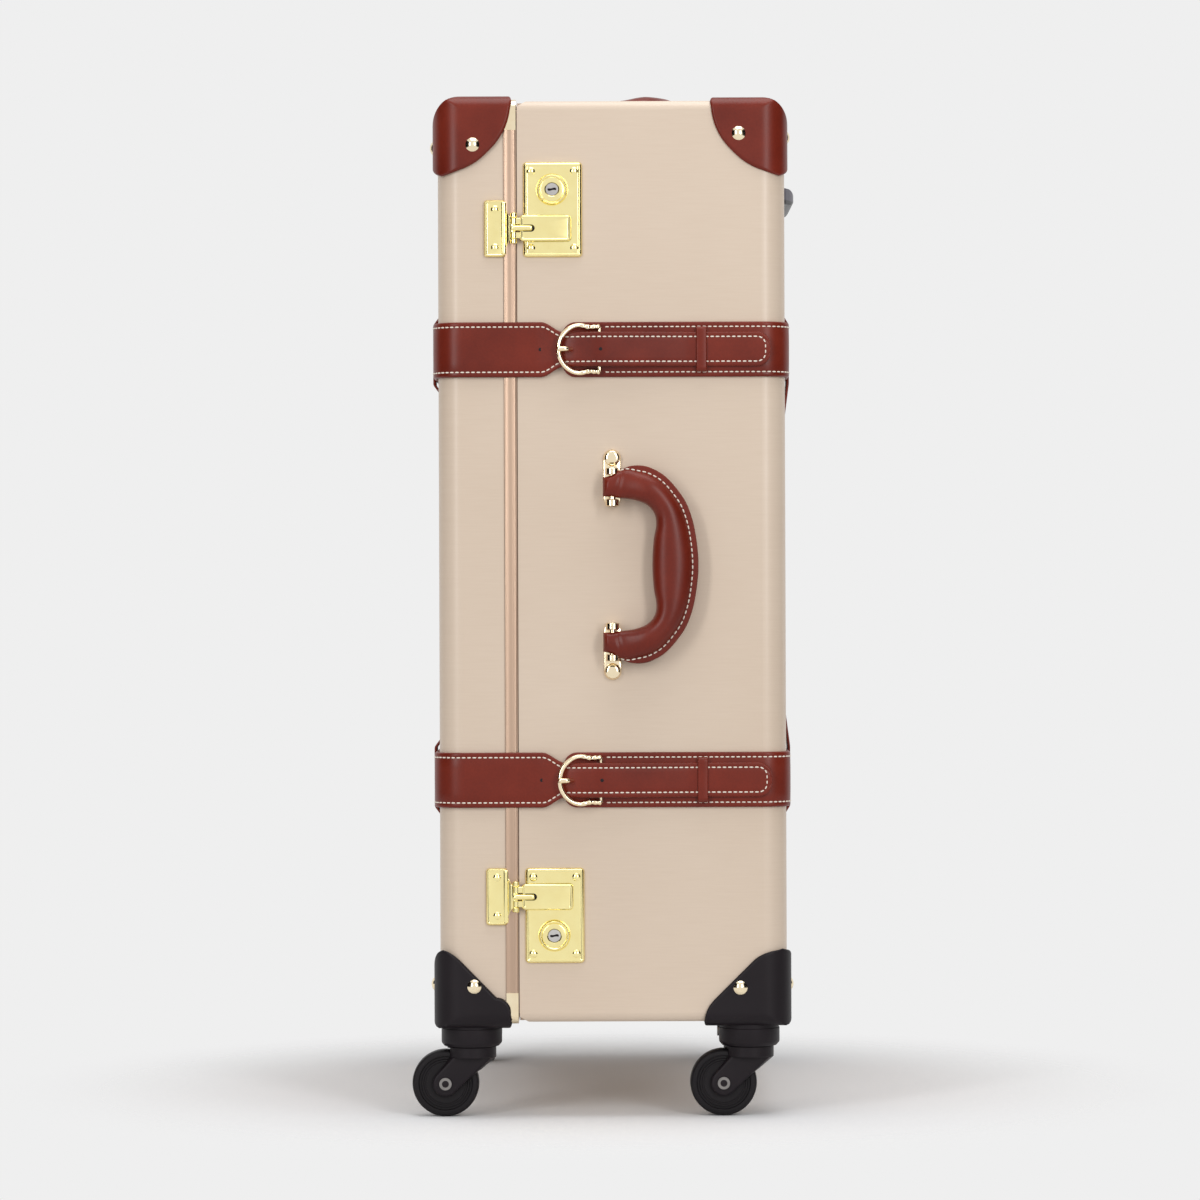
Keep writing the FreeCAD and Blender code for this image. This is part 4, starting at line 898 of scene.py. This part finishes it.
def holding_loops():
    """Wider leather loops that hold the straps on the front and the back: short ends on the case, and on
    the back a long end towards the middle."""
    for name, side, out, long_end in (("lid", -1, 4.9, 27.6), ("base", 1, 4.3, 47.0)):
        face = front_x if side < 0 else back_x
        line = [(-27.6, 1.1, 0), (-22.4, out, 2.5), (22.4, out, 2.5), (long_end, 1.1, 0)]
        patches = []
        for strap, inward in (("upper", -1), ("lower", 1)):
            for y in (near_y + loop_inset, far_y - loop_inset):
                origin = np.array([face, y, strap_heights[strap]])
                way = (np.array([0, 1.0, 0]), side * to_back, inward * upward)
                patches.append(band(line, origin, *way, loop_width, loop_sheet))
        piece(name + "_holding_loops", patches, "leather", name, [name + "_strap_loops"])


# Edges of a handle's grip from its end to its middle: along X from the pin, and along the pin
grip_outer = [
    (-7.0, 64.6), (-2.0, 65.8), (5.6, 69.6), (13.3, 73.0), (22.8, 73.3), (31.1, 70.6), (39.5, 65.3),
    (47.7, 56.4), (54.9, 45.7), (59.7, 32.6), (62.3, 19.5), (63.7, 7.0), (63.9, 0.0),
]
grip_inner = [
    (-7.0, 50.4), (-2.0, 50.2), (5.6, 49.3), (12.0, 48.6), (17.9, 47.4), (25.2, 44.5), (30.0, 39.8),
    (32.3, 33.8), (32.2, 26.7), (30.8, 19.5), (29.8, 8.0), (29.6, 0.0),
]
grip_thick = 10.3
grip_end_thick = 6.4
welt_width = 5.0
welt_half = 2.3


def handle_edge(knots):
    """A whole edge of a grip: the half that the knots give, closer together near the pin, and its mirror."""
    share = np.linspace(0, 1, 60)
    share = 0.35 * (1 - np.cos(share * math.pi / 2)) + 0.65 * share
    return and_mirror(spaced(smooth_curve(knots, 400), share))


def grip():
    """A padded grip: between its inner and outer edges each section is a full rounded body that pinches
    in at the stitch line and ends in a flat welt. Near each end a crease crosses it, and behind the pin it
    stays inside a circle about the pin. Returns the rings and the two stitch lines."""
    crease_at, crease_width, crease_depth = 12.5, 1.4, 0.9
    pin_round = math.sqrt(49.5)
    outer, inner = handle_edge(grip_outer), handle_edge(grip_inner)
    from_end = from_nearer_end((outer + inner) / 2)
    u = outer[:, 0]
    crease = crease_depth * np.exp(-(((from_end - crease_at) / crease_width) ** 2))
    thick = grip_end_thick + (grip_thick - grip_end_thick) * ease(from_end, 12, 38) - crease
    thick = np.where(u < 0, np.minimum(thick, np.sqrt(np.maximum(pin_round**2 - u**2, 0.3))), thick)
    welt = welt_width * ease(from_end, 9, 26)
    pinch = 1 - welt / np.linalg.norm(outer - inner, axis=1)
    welt_high = np.minimum(welt_half, thick * 0.45) * ease(from_end, 6, 22)
    turn = np.linspace(math.pi, 0, 21)
    share = (0.5 + 0.5 * np.cos(turn)) * pinch[:, None]
    body = thick[:, None] * np.sin(turn) ** 0.82
    near_welt = (0.5 + 0.5 * np.cos(turn)) ** 10
    height = np.hypot(body, welt_high[:, None] * near_welt)
    flat = pinch[:, None] + (1 - pinch)[:, None] * np.array([0.12, 0.5, 0.85, 0.98])
    flat_high = welt_high[:, None] * np.array([0.95, 1.0, 0.95, 0.55])
    share = np.concatenate([share, flat, flat[:, ::-1], share[:, :0:-1]], 1)
    high = np.concatenate([height, flat_high, -flat_high[:, ::-1], -height[:, :0:-1]], 1)
    plan = inner[:, None] + (outer - inner)[:, None] * share[..., None]
    rings = np.concatenate([plan, handle_lift + high[..., None]], -1)
    sewn = from_end > 10
    edge = (inner + (outer - inner) * (pinch + 0.1 * (1 - pinch))[:, None])[sewn]
    lines = [np.column_stack([edge, handle_lift + side * (welt_high[sewn] + 0.1)]) for side in (1, -1)]
    return rings, lines


def bracket(end):
    """One bracket in a handle's own (u, v, height): a long plate with round ends, a domed cap and the
    posts of two lugs, and where the lugs' barrels are centred."""
    lug_in, lug_out = 43.2, 66.7
    far = lug_out + lug_length + 14.0
    half = (far - lug_in) / 2
    plate_half, cap_radius, cap_inset, post_half = 6.5, 6.1, 6.4, 4.9
    plate_steps = [(0, 0.1), (0, 1.5), (0.35, 2.1), (0.9, 2.35)]
    cap_steps = [(0, 1.8), (0, 2.9), (0.3, 3.7), (0.9, 4.5), (1.7, 5.0), (2.7, 5.3), (3.6, 5.4)]
    post_steps = [(0, 2.0), (0, handle_lift - 1)]
    shapes = [
        pressed(plate_half, half, plate_half, plate_steps) + [0, end * (lug_in + half), 0],
        pressed(cap_radius, cap_radius, cap_radius, cap_steps) + [0, end * (far - cap_inset), 0],
    ]
    centres = []
    for low in (lug_in, lug_out):
        middle = end * (low + lug_length / 2)
        shapes.append(pressed(post_half, lug_length / 2, 0.5, post_steps) + [0, middle, 0])
        centres.append(np.array([0.0, middle, handle_lift]))
    return shapes, centres


def handles():
    """The side handle and the top handle: padded grip, stitching along its welt, and two brackets."""
    rings, lines = grip()
    lug_radius, lug_bevel = 5.1, 0.5
    for name, on_top in (("side", False), ("top", True)):
        pin = joint_at[name + "_handle_swing"]
        origin = pin[:2] if on_top else pin[[0, 2]]
        out = upward if on_top else to_locks
        axis = -to_locks if on_top else upward
        body = name + "_handle"
        leather = piece(body + "_grip", [skin(stood(rings, origin, on_top))], "leather", body, [body])
        rows = []
        for line, side in zip(lines, (1, -1)):
            line = evenly(stood(line, origin, on_top), 240)
            rows.append(stitches(line, np.tile(side * out, (len(line), 1)), welt_pitch))
        piece(body + "_stitching", rows, "thread", body)
        patches = []
        for end in (-1, 1):
            shapes, centres = bracket(end)
            patches += [skin(stood(shape, origin, on_top)) for shape in shapes]
            for centre in centres:
                patches.append(barrel(stood(centre, origin, on_top), axis, lug_radius, lug_length, lug_bevel))
        piece(body + "_mounts", patches, slot_of["handle_brackets"], "base", ["handle_brackets"], 30)


def flare(pivot, start, lift):
    """The catch's neck: a sheet that narrows from the plate to the hasp's pin in a soft S while it rises."""
    pin_half, plate_more, sheet = 8.9, 7.6, 1.5
    u = np.linspace(start, 1.2, 24)
    path = np.column_stack([u, 0 * u, 2.1 + (lift - 1.6) * ease(u, start, 0)])
    offsets, heights = flat_bar(pin_half + plate_more * ease(-u, 2.4, 7.6), sheet)
    rings = path[:, None] + np.stack([0 * offsets, offsets, 0 * offsets + heights], -1)
    return skin(stood(rings, pivot[[0, 2]]))


def lock_plate(name, flip):
    """The lock's plate with its raised border, and the dial turned on it."""
    low, high = span("lock_plates")
    plug = joint_at[name + "_key_turn"]
    z = high[2] - lock_height / 2 if flip > 0 else low[2] + lock_height / 2
    steps = [(0, 0.15), (0, 1.2), (0.5, 2.1), (1.1, 2.8), (1.8, 3.1), (2.4, 2.9), (2.9, 2.5), (3.5, 2.4)]
    plate = pressed((high[0] - low[0]) / 2, lock_height / 2, 2.8, steps)
    dial = [
        (12.0, 1.5), (12.0, 2.6), (11.8, 4.2), (11.2, 5.6), (10.5, 6.3), (9.9, 6.35), (9.4, 5.8), (9.1, 5.6),
        (8.8, 5.85), (8.4, 6.0), (5.5, 6.05), (5.1, 5.8), (4.95, 5.2), (4.95, 1.5),
    ]
    patches = [skin(stood(plate, ((low[0] + high[0]) / 2, z)))]
    patches.append(skin(turned((plug[0], near_y, plug[2]), to_locks, dial, 72), closed=True))
    piece(name + "_lock_plate", patches, "gold_plate", "base", ["lock_plates"], 32)


def key_barrel(name):
    """The key plug: a round face whose rings pass from a circle into the keyway, with a dark floor as painted
    shade.
    """
    plug = joint_at[name + "_key_turn"][[0, 2]]
    angle = np.linspace(0, 2 * math.pi, 48, endpoint=False)
    circle = np.stack([np.cos(angle), np.sin(angle)], -1)
    waist = 0.75 + 1.1 * circle[:, 0] ** 2
    wave = np.stack([3.3 * circle[:, 0], waist * circle[:, 1] + 0.3 * np.sin(circle[:, 0] * 3)], -1)
    rings = [(circle * 4.85, 1.5), (circle * 4.85, 5.4), (circle * 4.6, 5.75), (circle * 3.9, 5.8)]
    rings += [(wave, 5.8), (wave, 3.0)]
    face = np.array([raised(loop, height) for loop, height in rings])
    # painted shade: a dark fill low in the keyway
    bottom = np.array([raised(wave * 0.99, height) for height in (3.5, 5.2)])
    body = name + "_key_plug"
    piece(name + "_key_barrel", [skin(stood(face, plug))], slot_of[body], body, [body], 32)
    piece(name + "_keyway_shade", [skin(stood(bottom, plug))], "black_plastic", body)


def hasp_plate(name):
    """The hasp: a bordered plate with a slot, two knuckles on the pin and the link through the slot."""
    pivot = joint_at[name + "_hasp_swing"]
    origin = pivot[[0, 2]]
    lift = near_y - pivot[1]
    low, high = span(name + "_hasp")
    start = 4.2
    half = (high[0] - pivot[0] - start) / 2
    steps = [(0, 3.6), (0, 5.0), (0.4, 5.8), (1.0, 6.25), (1.6, 6.3), (2.1, 6.0), (2.6, 5.8)]
    slot_at, slot_long, slot_wide = start + 6.3, 5.2, 2.7
    slot = (slot_at - start - half, slot_long, slot_wide, 4.2)
    plate = pressed(half, (high[2] - low[2]) / 2, 3.0, steps, slot)
    patches = [skin(stood(plate + [start + half, 0, 0], origin))]
    knuckle_at, knuckle_radius, knuckle_length = 5.2, 2.3, 4.8
    neck = pressed(2.6, 2.3, 0.3, [(0, lift - 1.3), (0, lift + 1.2), (0.3, lift + 1.5)])
    for end in (-knuckle_at, knuckle_at):
        patches.append(barrel(pivot + end * upward, upward, knuckle_radius, knuckle_length))
        patches.append(skin(stood(neck + [2.6, end, 0], origin)))
    run = np.linspace(0, 1, 26)
    link = np.column_stack([-2.2 + 16.4 * run, 0 * run, lift + 1.2 + 0.6 * np.sin(run * math.pi)])
    girth = 2.0 * np.sqrt(np.clip(1 - (2 * run - 1) ** 14, 0.02, 1))
    patches.append(skin(wire_rings(stood(link, origin), girth, 18)))
    piece(name + "_hasp_plate", patches, "gold_plate", name + "_hasp", [name + "_hasp"], 32)
    # painted shade: a dark plate at the slot's floor
    bottom = pressed(slot_long - 0.3, slot_wide - 0.3, slot_wide, [(0, 4.1), (0, 4.5)]) + [slot_at, 0, 0]
    piece(name + "_hasp_slot_shade", [skin(stood(bottom, origin))], "black_plastic", name + "_hasp")


def catch(name):
    """The catch on the lid: a bordered plate, a ridge along its inner side, the neck that rises from it,
    and the knuckles at the ends of the hasp's pin."""
    pivot = joint_at[name + "_hasp_swing"]
    lift = near_y - pivot[1]
    low = span("catch_plates")[0]
    half = 8.0
    steps = [(0, 0.8), (0, 1.9), (0.4, 2.7), (1.0, 3.3), (1.6, 3.4), (2.2, 3.0), (2.7, 2.85)]
    plate = pressed(half, 21.2, 2.4, steps)
    ridge = pressed(1.9, 19.8, 1.2, [(0, 2.2), (0.2, 3.6), (0.8, 4.2), (1.5, 4.4)]) + [half - 1.2, 0, 0]
    patches = [skin(stood(shape, (low[0] + half, pivot[2]))) for shape in (plate, ridge)]
    patches.append(flare(pivot, low[0] + 2 * half - 1.6 - pivot[0], lift))
    knuckle_at, knuckle_radius, knuckle_length = 9.6, 2.5, 3.6
    for end in (-knuckle_at, knuckle_at):
        patches.append(barrel(pivot + end * upward, upward, knuckle_radius, knuckle_length))
    piece(name + "_catch", patches, "gold_plate", "lid", ["catch_plates"], 32)


def locks():
    """Both locks; the lower one is the upper one upside down."""
    for name, flip in (("upper", 1), ("lower", -1)):
        lock_plate(name, flip)
        key_barrel(name)
        hasp_plate(name)
        catch(name)


def horseshoe():
    """A buckle's wire as its line (along X, along the bar) and its girth: thicker towards the bend, with
    bell-shaped knobs near its round ends."""
    knots = [
        (1.0, 16.5), (-3.5, 16.4), (-8.0, 16.2), (-12.0, 17.2), (-15.5, 17.7), (-20.5, 16.4), (-25.8, 12.4),
        (-29.3, 6.8), (-30.5, 0.0),
    ]
    line = smooth_curve(and_mirror(np.array(knots)), 150)
    from_end = from_nearer_end(line)
    girth = 1.6 + 0.4 * ease(from_end, 16, 40)
    for place, swell in ((1.4, 0.75), (5.2, 0.45), (9.6, 0.55), (13.4, 0.25)):
        girth = girth + swell * np.exp(-(((from_end - place) / 1.2) ** 2))
    return line, girth * np.sqrt(np.clip(from_end / 1.6, 0.05, 1))


def prong(lift):
    """A prong as its line (u, v, height) from the bar to its tip on the horseshoe's bend, and its girth,
    which grows towards a round tip."""
    top = lift + 30.5 * buckle_rise + 3.6
    stops = [(-2.0, 0, lift), (-10.0, 0, lift - 0.5), (-17.5, 0, lift - 0.9), (-21.5, 0, lift + 2.8)]
    stops += [(-24.5, 0, top - 0.9), (-27.5, 0, top), (-30.0, 0, top), (-32.0, 0, top - 0.3)]
    line = smooth_curve(stops, 60)
    run = run_length(line)
    girth = 1.15 + 0.7 * ease(run, 17, 23)
    return line, girth * np.sqrt(np.clip((run[-1] - run) / 1.6, 0.05, 1))


def buckles():
    """Buckles: a horseshoe wire whose arms swell into knobs at the bar, the bar, and the prong on it."""
    bend, bend_girth = horseshoe()
    ring = [(1.55, -1.6), (2.1, -1.7), (2.5, -1.2), (2.5, 1.2), (2.1, 1.7), (1.55, 1.6)]
    bar_radius, bar_length, bar_bevel = 1.5, 33.2, 0.2
    for name in strap_heights:
        bar = joint_at[name + "_buckle_swing"]
        origin = bar[[0, 2]]
        lift = near_y - bar[1]
        line = np.column_stack([bend, lift - bend[:, 0] * buckle_rise])
        prong_line, prong_girth = prong(lift)
        patches = [
            skin(wire_rings(stood(line, origin), bend_girth, 18)),
            barrel(bar, upward, bar_radius, bar_length, bar_bevel),
            skin(turned(bar, upward, ring, 24), closed=True),
            skin(wire_rings(stood(prong_line, origin), prong_girth, 16)),
        ]
        body = name + "_buckle"
        piece(name + "_buckle_horseshoe", patches, slot_of[body], body, [body])


def lid_rim():
    """The lid's rim: a flat band between two beads, carried round all four sides of the case."""
    lid_bead = [(-9.3, 0.1), (-9.3, 0.8), (-8.9, 1.12), (-8.2, 1.24)]
    lid_bead += [(-7.5, 1.12), (-7.0, 0.84), (-6.7, 0.76)]
    edge_bead = [(-3.2, 0.76), (-2.9, 0.84), (-2.5, 1.12), (-1.9, 1.24)]
    edge_bead += [(-1.2, 1.12), (-0.6, 0.8), (-0.3, 0.4), (-0.3, 0.1)]
    offsets, heights = np.transpose(lid_bead + edge_bead)
    loop = rounded_loop(case_half[1], case_half[2], corner_round, 12)
    grown = rounded_loop(case_half[1] + 1, case_half[2] + 1, corner_round + 1, 12)
    outward = np.column_stack([np.zeros(len(loop)), grown - loop])
    path = np.column_stack([np.full(len(loop), lid_edge), loop + case_middle[1:]])
    rings = carried(path, outward, to_back, offsets, heights)
    piece("lid_rim_moulding", [skin(rings, closed=True)], "rim_metal", "lid", sharp=50)


def about(centre, radius, angle):
    """Points on a circle about a centre, at the given angles."""
    return centre + radius * np.stack([np.cos(angle), np.sin(angle)], -1)


def touch_angle(corner, hub_at, hub, way):
    """Angle on the circle of a hub at which a line from a corner touches it, on the given side."""
    gap = np.array(corner) - hub_at
    return math.atan2(gap[1], gap[0]) + way * math.acos(hub / np.linalg.norm(gap))


def cheek_view(reach, hub, hub_at):
    """Side view of a fork's cheek about its stem: as wide as the neck above, with lines from there that
    touch the circle of the hub."""
    first = touch_angle((-reach, neck_low), hub_at, hub, 1)
    last = touch_angle((reach, neck_low), hub_at, hub, -1) + 2 * math.pi
    arc = about(hub_at, hub, np.linspace(first, last, 28))
    neck = [(reach, neck_low), (reach, neck_under), (-reach, neck_under), (-reach, neck_low)]
    return np.concatenate([arc, neck])


def web_view(reach, hub_at, room):
    """Side view of the wall behind the wheel: down a share of the cheek's back edge, and back up round the
    wheel's room to the neck."""
    share, last = 0.36, math.radians(132)
    overlap = 2.0
    corner = np.array([-reach, neck_low])
    touch = about(hub_at, fork_hub, touch_angle(corner, hub_at, fork_hub, 1))
    meet = corner + (touch - corner) * share
    first = math.atan2(*(meet - hub_at)[::-1])
    arc = about(hub_at, room, np.linspace(first, last, 10))
    return np.concatenate([[corner + [0, overlap], corner, meet], arc, [(arc[-1, 0], neck_low + overlap)]])


def side_by_side(views, places):
    """Side views (along, up) set at their places across, as rings of (along, across, up)."""
    return np.array([np.insert(view, 1, place, axis=1) for view, place in zip(views, places)])


def neck_profile():
    """Profile of a fork's stem and roof, of radius and height."""
    stem_top = neck_top + 10
    stem = stem_radius - 0.1
    profile = [(0.01, stem_top), (stem, stem_top), (stem, neck_top), (neck_radius - 0.5, neck_top)]
    return profile + [(neck_radius, neck_top - 0.5), (neck_radius, neck_under), (0.01, neck_under)]


def neck_rings():
    """The wall round a fork's neck, open where the wheel passes: its section of radius and height is
    carried round from one edge of the opening to the other."""
    inside = neck_radius - neck_wall
    section = [(neck_radius, neck_under), (neck_radius, neck_low + 0.5), (neck_radius - 0.4, neck_low)]
    section += [(inside, neck_low), (inside, neck_under)]
    radius, height = np.transpose(section)
    opening = math.asin(fork_inside / neck_radius)
    bend = np.linspace(opening, 2 * math.pi - opening, 49)[:, None]
    return np.stack([radius * np.cos(bend), radius * np.sin(bend), height + 0 * bend], -1)


def cheek_rings(hub_at):
    """The two cheeks of a fork, whose outer edges are softened: further across, each side view is smaller."""
    steps = [(fork_inside, 0), (10.6, 0), (11.3, 0.25), (11.8, 0.7), (12.1, 1.3), (fork_outside, 2.0)]
    across, inset = np.transpose(steps)
    reach = np.sqrt(neck_radius**2 - across**2) - inset
    views = [cheek_view(wide, hub, hub_at) for wide, hub in zip(reach, fork_hub - inset)]
    return [side_by_side(views, hand * across) for hand in (-1, 1)]


def web_rings(hub_at):
    """The web of a fork, as wide as its inside and bowed with the round neck."""
    across = np.linspace(-fork_inside, fork_inside, 7)
    reach = np.sqrt(neck_radius**2 - across**2)
    return side_by_side([web_view(wide, hub_at, hub_at[1] + wheel_gap) for wide in reach], across)


def forks():
    """Forks of the casters: a stem and roof turned about the swivel, and a wall round the neck, two cheeks
    down to the axle and a web behind the wheel, which are built as (along, across, up) from the stem and
    set down along the wheel's trail."""
    for name in casters:
        stem = joint_at[name + "_swivel"] * [1, 1, 0]
        wheel = sum(span(name + "_wheel")) / 2
        trail = (wheel - stem) * [1, 1, 0]
        along = unit(trail)
        axes = np.array([along, np.cross(upward, along), upward])
        hub_at = np.array([np.linalg.norm(trail), wheel[2]])
        patches = [skin(turned(stem, upward, neck_profile(), 64))]
        for rings in (neck_rings(), *cheek_rings(hub_at), web_rings(hub_at)):
            patches.append(skin(stem + rings @ axes))
        piece(name + "_fork_moulding", patches, "black_plastic", name + "_caster", [name + "_fork"], 38)


def wheels():
    """Wheels: a tread with round shoulders, a groove beside it and a ringed disc inside; and a dark disc let
    into the head of each axle screw as painted shade in its socket."""
    face = [
        (3.05, 7.6), (8.0, 7.6), (14.6, 7.9), (15.2, 7.5), (16.0, 7.5), (16.6, 8.0), (17.6, 8.0), (18.0, 6.4),
        (19.8, 6.4), (20.3, 7.9), (21.6, 8.0), (23.2, 7.6), (24.4, 6.5), (24.9, 5.0), (25.0, 3.5),
    ]
    disc = [(0.01, -1.5), (2.6, -1.5), (2.6, 0.04), (2.3, 0.1), (0.01, 0.1)]
    for name, axis in casters.items():
        low, high = span(name + "_wheel")
        tyre = skin(turned((low + high) / 2, axis, both_faces(face), 96), closed=True)
        piece(name + "_tyre", [tyre], "wheel_rubber", name + "_wheel", [name + "_wheel"], 28)
        low, high = span(name + "_axle")
        head = (low + high) / 2 + axis * abs(axis @ (high - low)) / 2
        # painted shade: a dark disc in the screw head's socket
        piece(name + "_axle_socket_shade", [skin(turned(head, axis, disc, 24))], "black_plastic", name + "_caster")


def packed_finishes():
    """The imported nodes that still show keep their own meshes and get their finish; the axle screws are
    darker than the other steel."""
    for node, slot in slot_of.items():
        mesh = frame["nodes"][node].data
        mesh.materials.clear()
        mesh.materials.append(finishes["axle_steel" if node.endswith("_axle") else slot])


leather_corners()
wheel_housings()
lid_straps()
base_straps()
strap_hole_shades()
keepers()
holding_loops()
handles()
locks()
buckles()
lid_rim()
forks()
wheels()
packed_finishes()


def camera():
    """The photograph's view: level, from the lock side, and a little to the lid's side of the middle."""
    image_size = 1200
    near_distance = 3400.0
    pixel = 0.744
    aside_pixels = 12.5
    floor_pixel = 1115
    eye_lift = 3.0
    roll = 0.2
    sensor = 36.0
    data = bpy.data.cameras.new("camera")
    data.sensor_width = sensor
    data.lens = sensor * near_distance / (image_size * pixel)
    made = linked("camera", data)
    eye_z = (floor_pixel - image_size / 2) * pixel + eye_lift
    made.location = np.array([case_middle[0] - aside_pixels * pixel, near_y - near_distance, eye_z]) * MM
    made.rotation_euler = (math.pi / 2, math.radians(roll), 0)
    scene.camera = made


def soft_lamp(name, place, aim, size, power):
    """A soft square lamp that faces a point, with lengths in metres."""
    lamp = bpy.data.lights.new(name, "AREA")
    lamp.shape = "RECTANGLE"
    lamp.size, lamp.size_y = size
    lamp.energy = power
    made = linked(name, lamp)
    made.location = place
    x, y, z = np.array(aim, float) - place
    made.rotation_euler = (math.atan2(math.hypot(x, y), -z), 0, math.atan2(y, x) - math.pi / 2)


def dark_card(name, corners, finish):
    """A dark card beside the set, which only gloss and metal see, as dark edges in their reflections."""
    mesh = bpy.data.meshes.new(name)
    mesh.from_pydata(corners, [], [(0, 1, 2, 3)])
    mesh.materials.append(finish)
    made = linked(name, mesh)
    for kind in ("camera", "diffuse", "transmission", "volume_scatter", "shadow"):
        setattr(made, "visible_" + kind, False)


def world():
    """A pale studio: one level for what the camera, gloss and glass see, a lower one that lights the set."""
    made = bpy.data.worlds.new("studio")
    scene.world = made
    made.use_nodes = True
    tree = made.node_tree
    wire = Wire(tree)
    path = [wire.node("LightPath", output=f"Is {kind} Ray") for kind in ("Camera", "Glossy", "Transmission")]
    seen = wire.clamp(path[0] + path[1] + path[2])
    lighting = wire.node("Background", sockets={"Color": (0.5, 0.5, 0.5, 1)})
    shown = wire.node("Background", sockets={"Color": linear(239, 239, 239)})
    level = wire.node("MixShader", sockets={0: seen, 1: lighting, 2: shown})
    tree.links.new(level.socket, tree.nodes["World Output"].inputs["Surface"])


def floor_finish():
    """Pale matt paint that fades to nothing between two distances from the middle, in metres."""
    fade_start, fade_end = 0.22, 0.5
    finish = bpy.data.materials.new("floor")
    finish.use_nodes = True
    tree = finish.node_tree
    wire = Wire(tree)
    place = wire.node("TexCoord", output="Object")
    away = wire.node("VectorMath", {"operation": "LENGTH"}, {0: place}, output="Value")
    fade = wire.node("MapRange", {"interpolation_type": "SMOOTHSTEP"}, {0: away, 1: fade_start, 2: fade_end})
    pale = wire.node("BsdfDiffuse", sockets={"Color": (0.87, 0.87, 0.88, 1)})
    blend = wire.node("MixShader", sockets={0: fade, 1: pale, 2: wire.node("BsdfTransparent")})
    tree.links.new(blend.socket, tree.nodes["Material Output"].inputs["Surface"])
    return finish


def floor():
    """A pale round floor that fades into the background away from the case."""
    sides = 96
    angle = np.linspace(0, 2 * math.pi, sides, endpoint=False)
    reach = np.array([0.0, 0.4, 0.9, 2.6])
    disc = reach[:, None, None] * np.stack([np.cos(angle), np.sin(angle), 0 * angle], -1)
    mesh = bpy.data.meshes.new("floor")
    mesh.from_pydata(disc.reshape(-1, 3), [], quads(len(reach), sides).tolist())
    mesh.materials.append(floor_finish())
    made = linked("floor", mesh)


def studio():
    """Soft lamps above and to both sides of the camera, and dark cards at the sides of the set."""
    soft_lamp("overhead", place=(0.1, -0.4, 2.6), aim=(0, 0, 0.3), size=(1.7, 1.7), power=26)
    soft_lamp("front_right", place=(1.2, -2.6, 1.2), aim=(0, 0, 0.45), size=(0.5, 1.8), power=21.5)
    soft_lamp("front_left", place=(-1.5, -2.4, 1.2), aim=(0, 0, 0.45), size=(0.4, 1.8), power=18)
    finish = material("dark_card", {"Specular IOR Level": 0.0, "Roughness": 1.0}, rubber)
    for name, x in (("left_card", -1.7), ("right_card", 1.7)):
        corners = [(x, -1.7, 0.03), (x, 0.4, 0.03), (x, 0.4, 2.1), (x, -1.7, 2.1)]
        dark_card(name, corners, finish)


camera()
studio()
world()
floor()
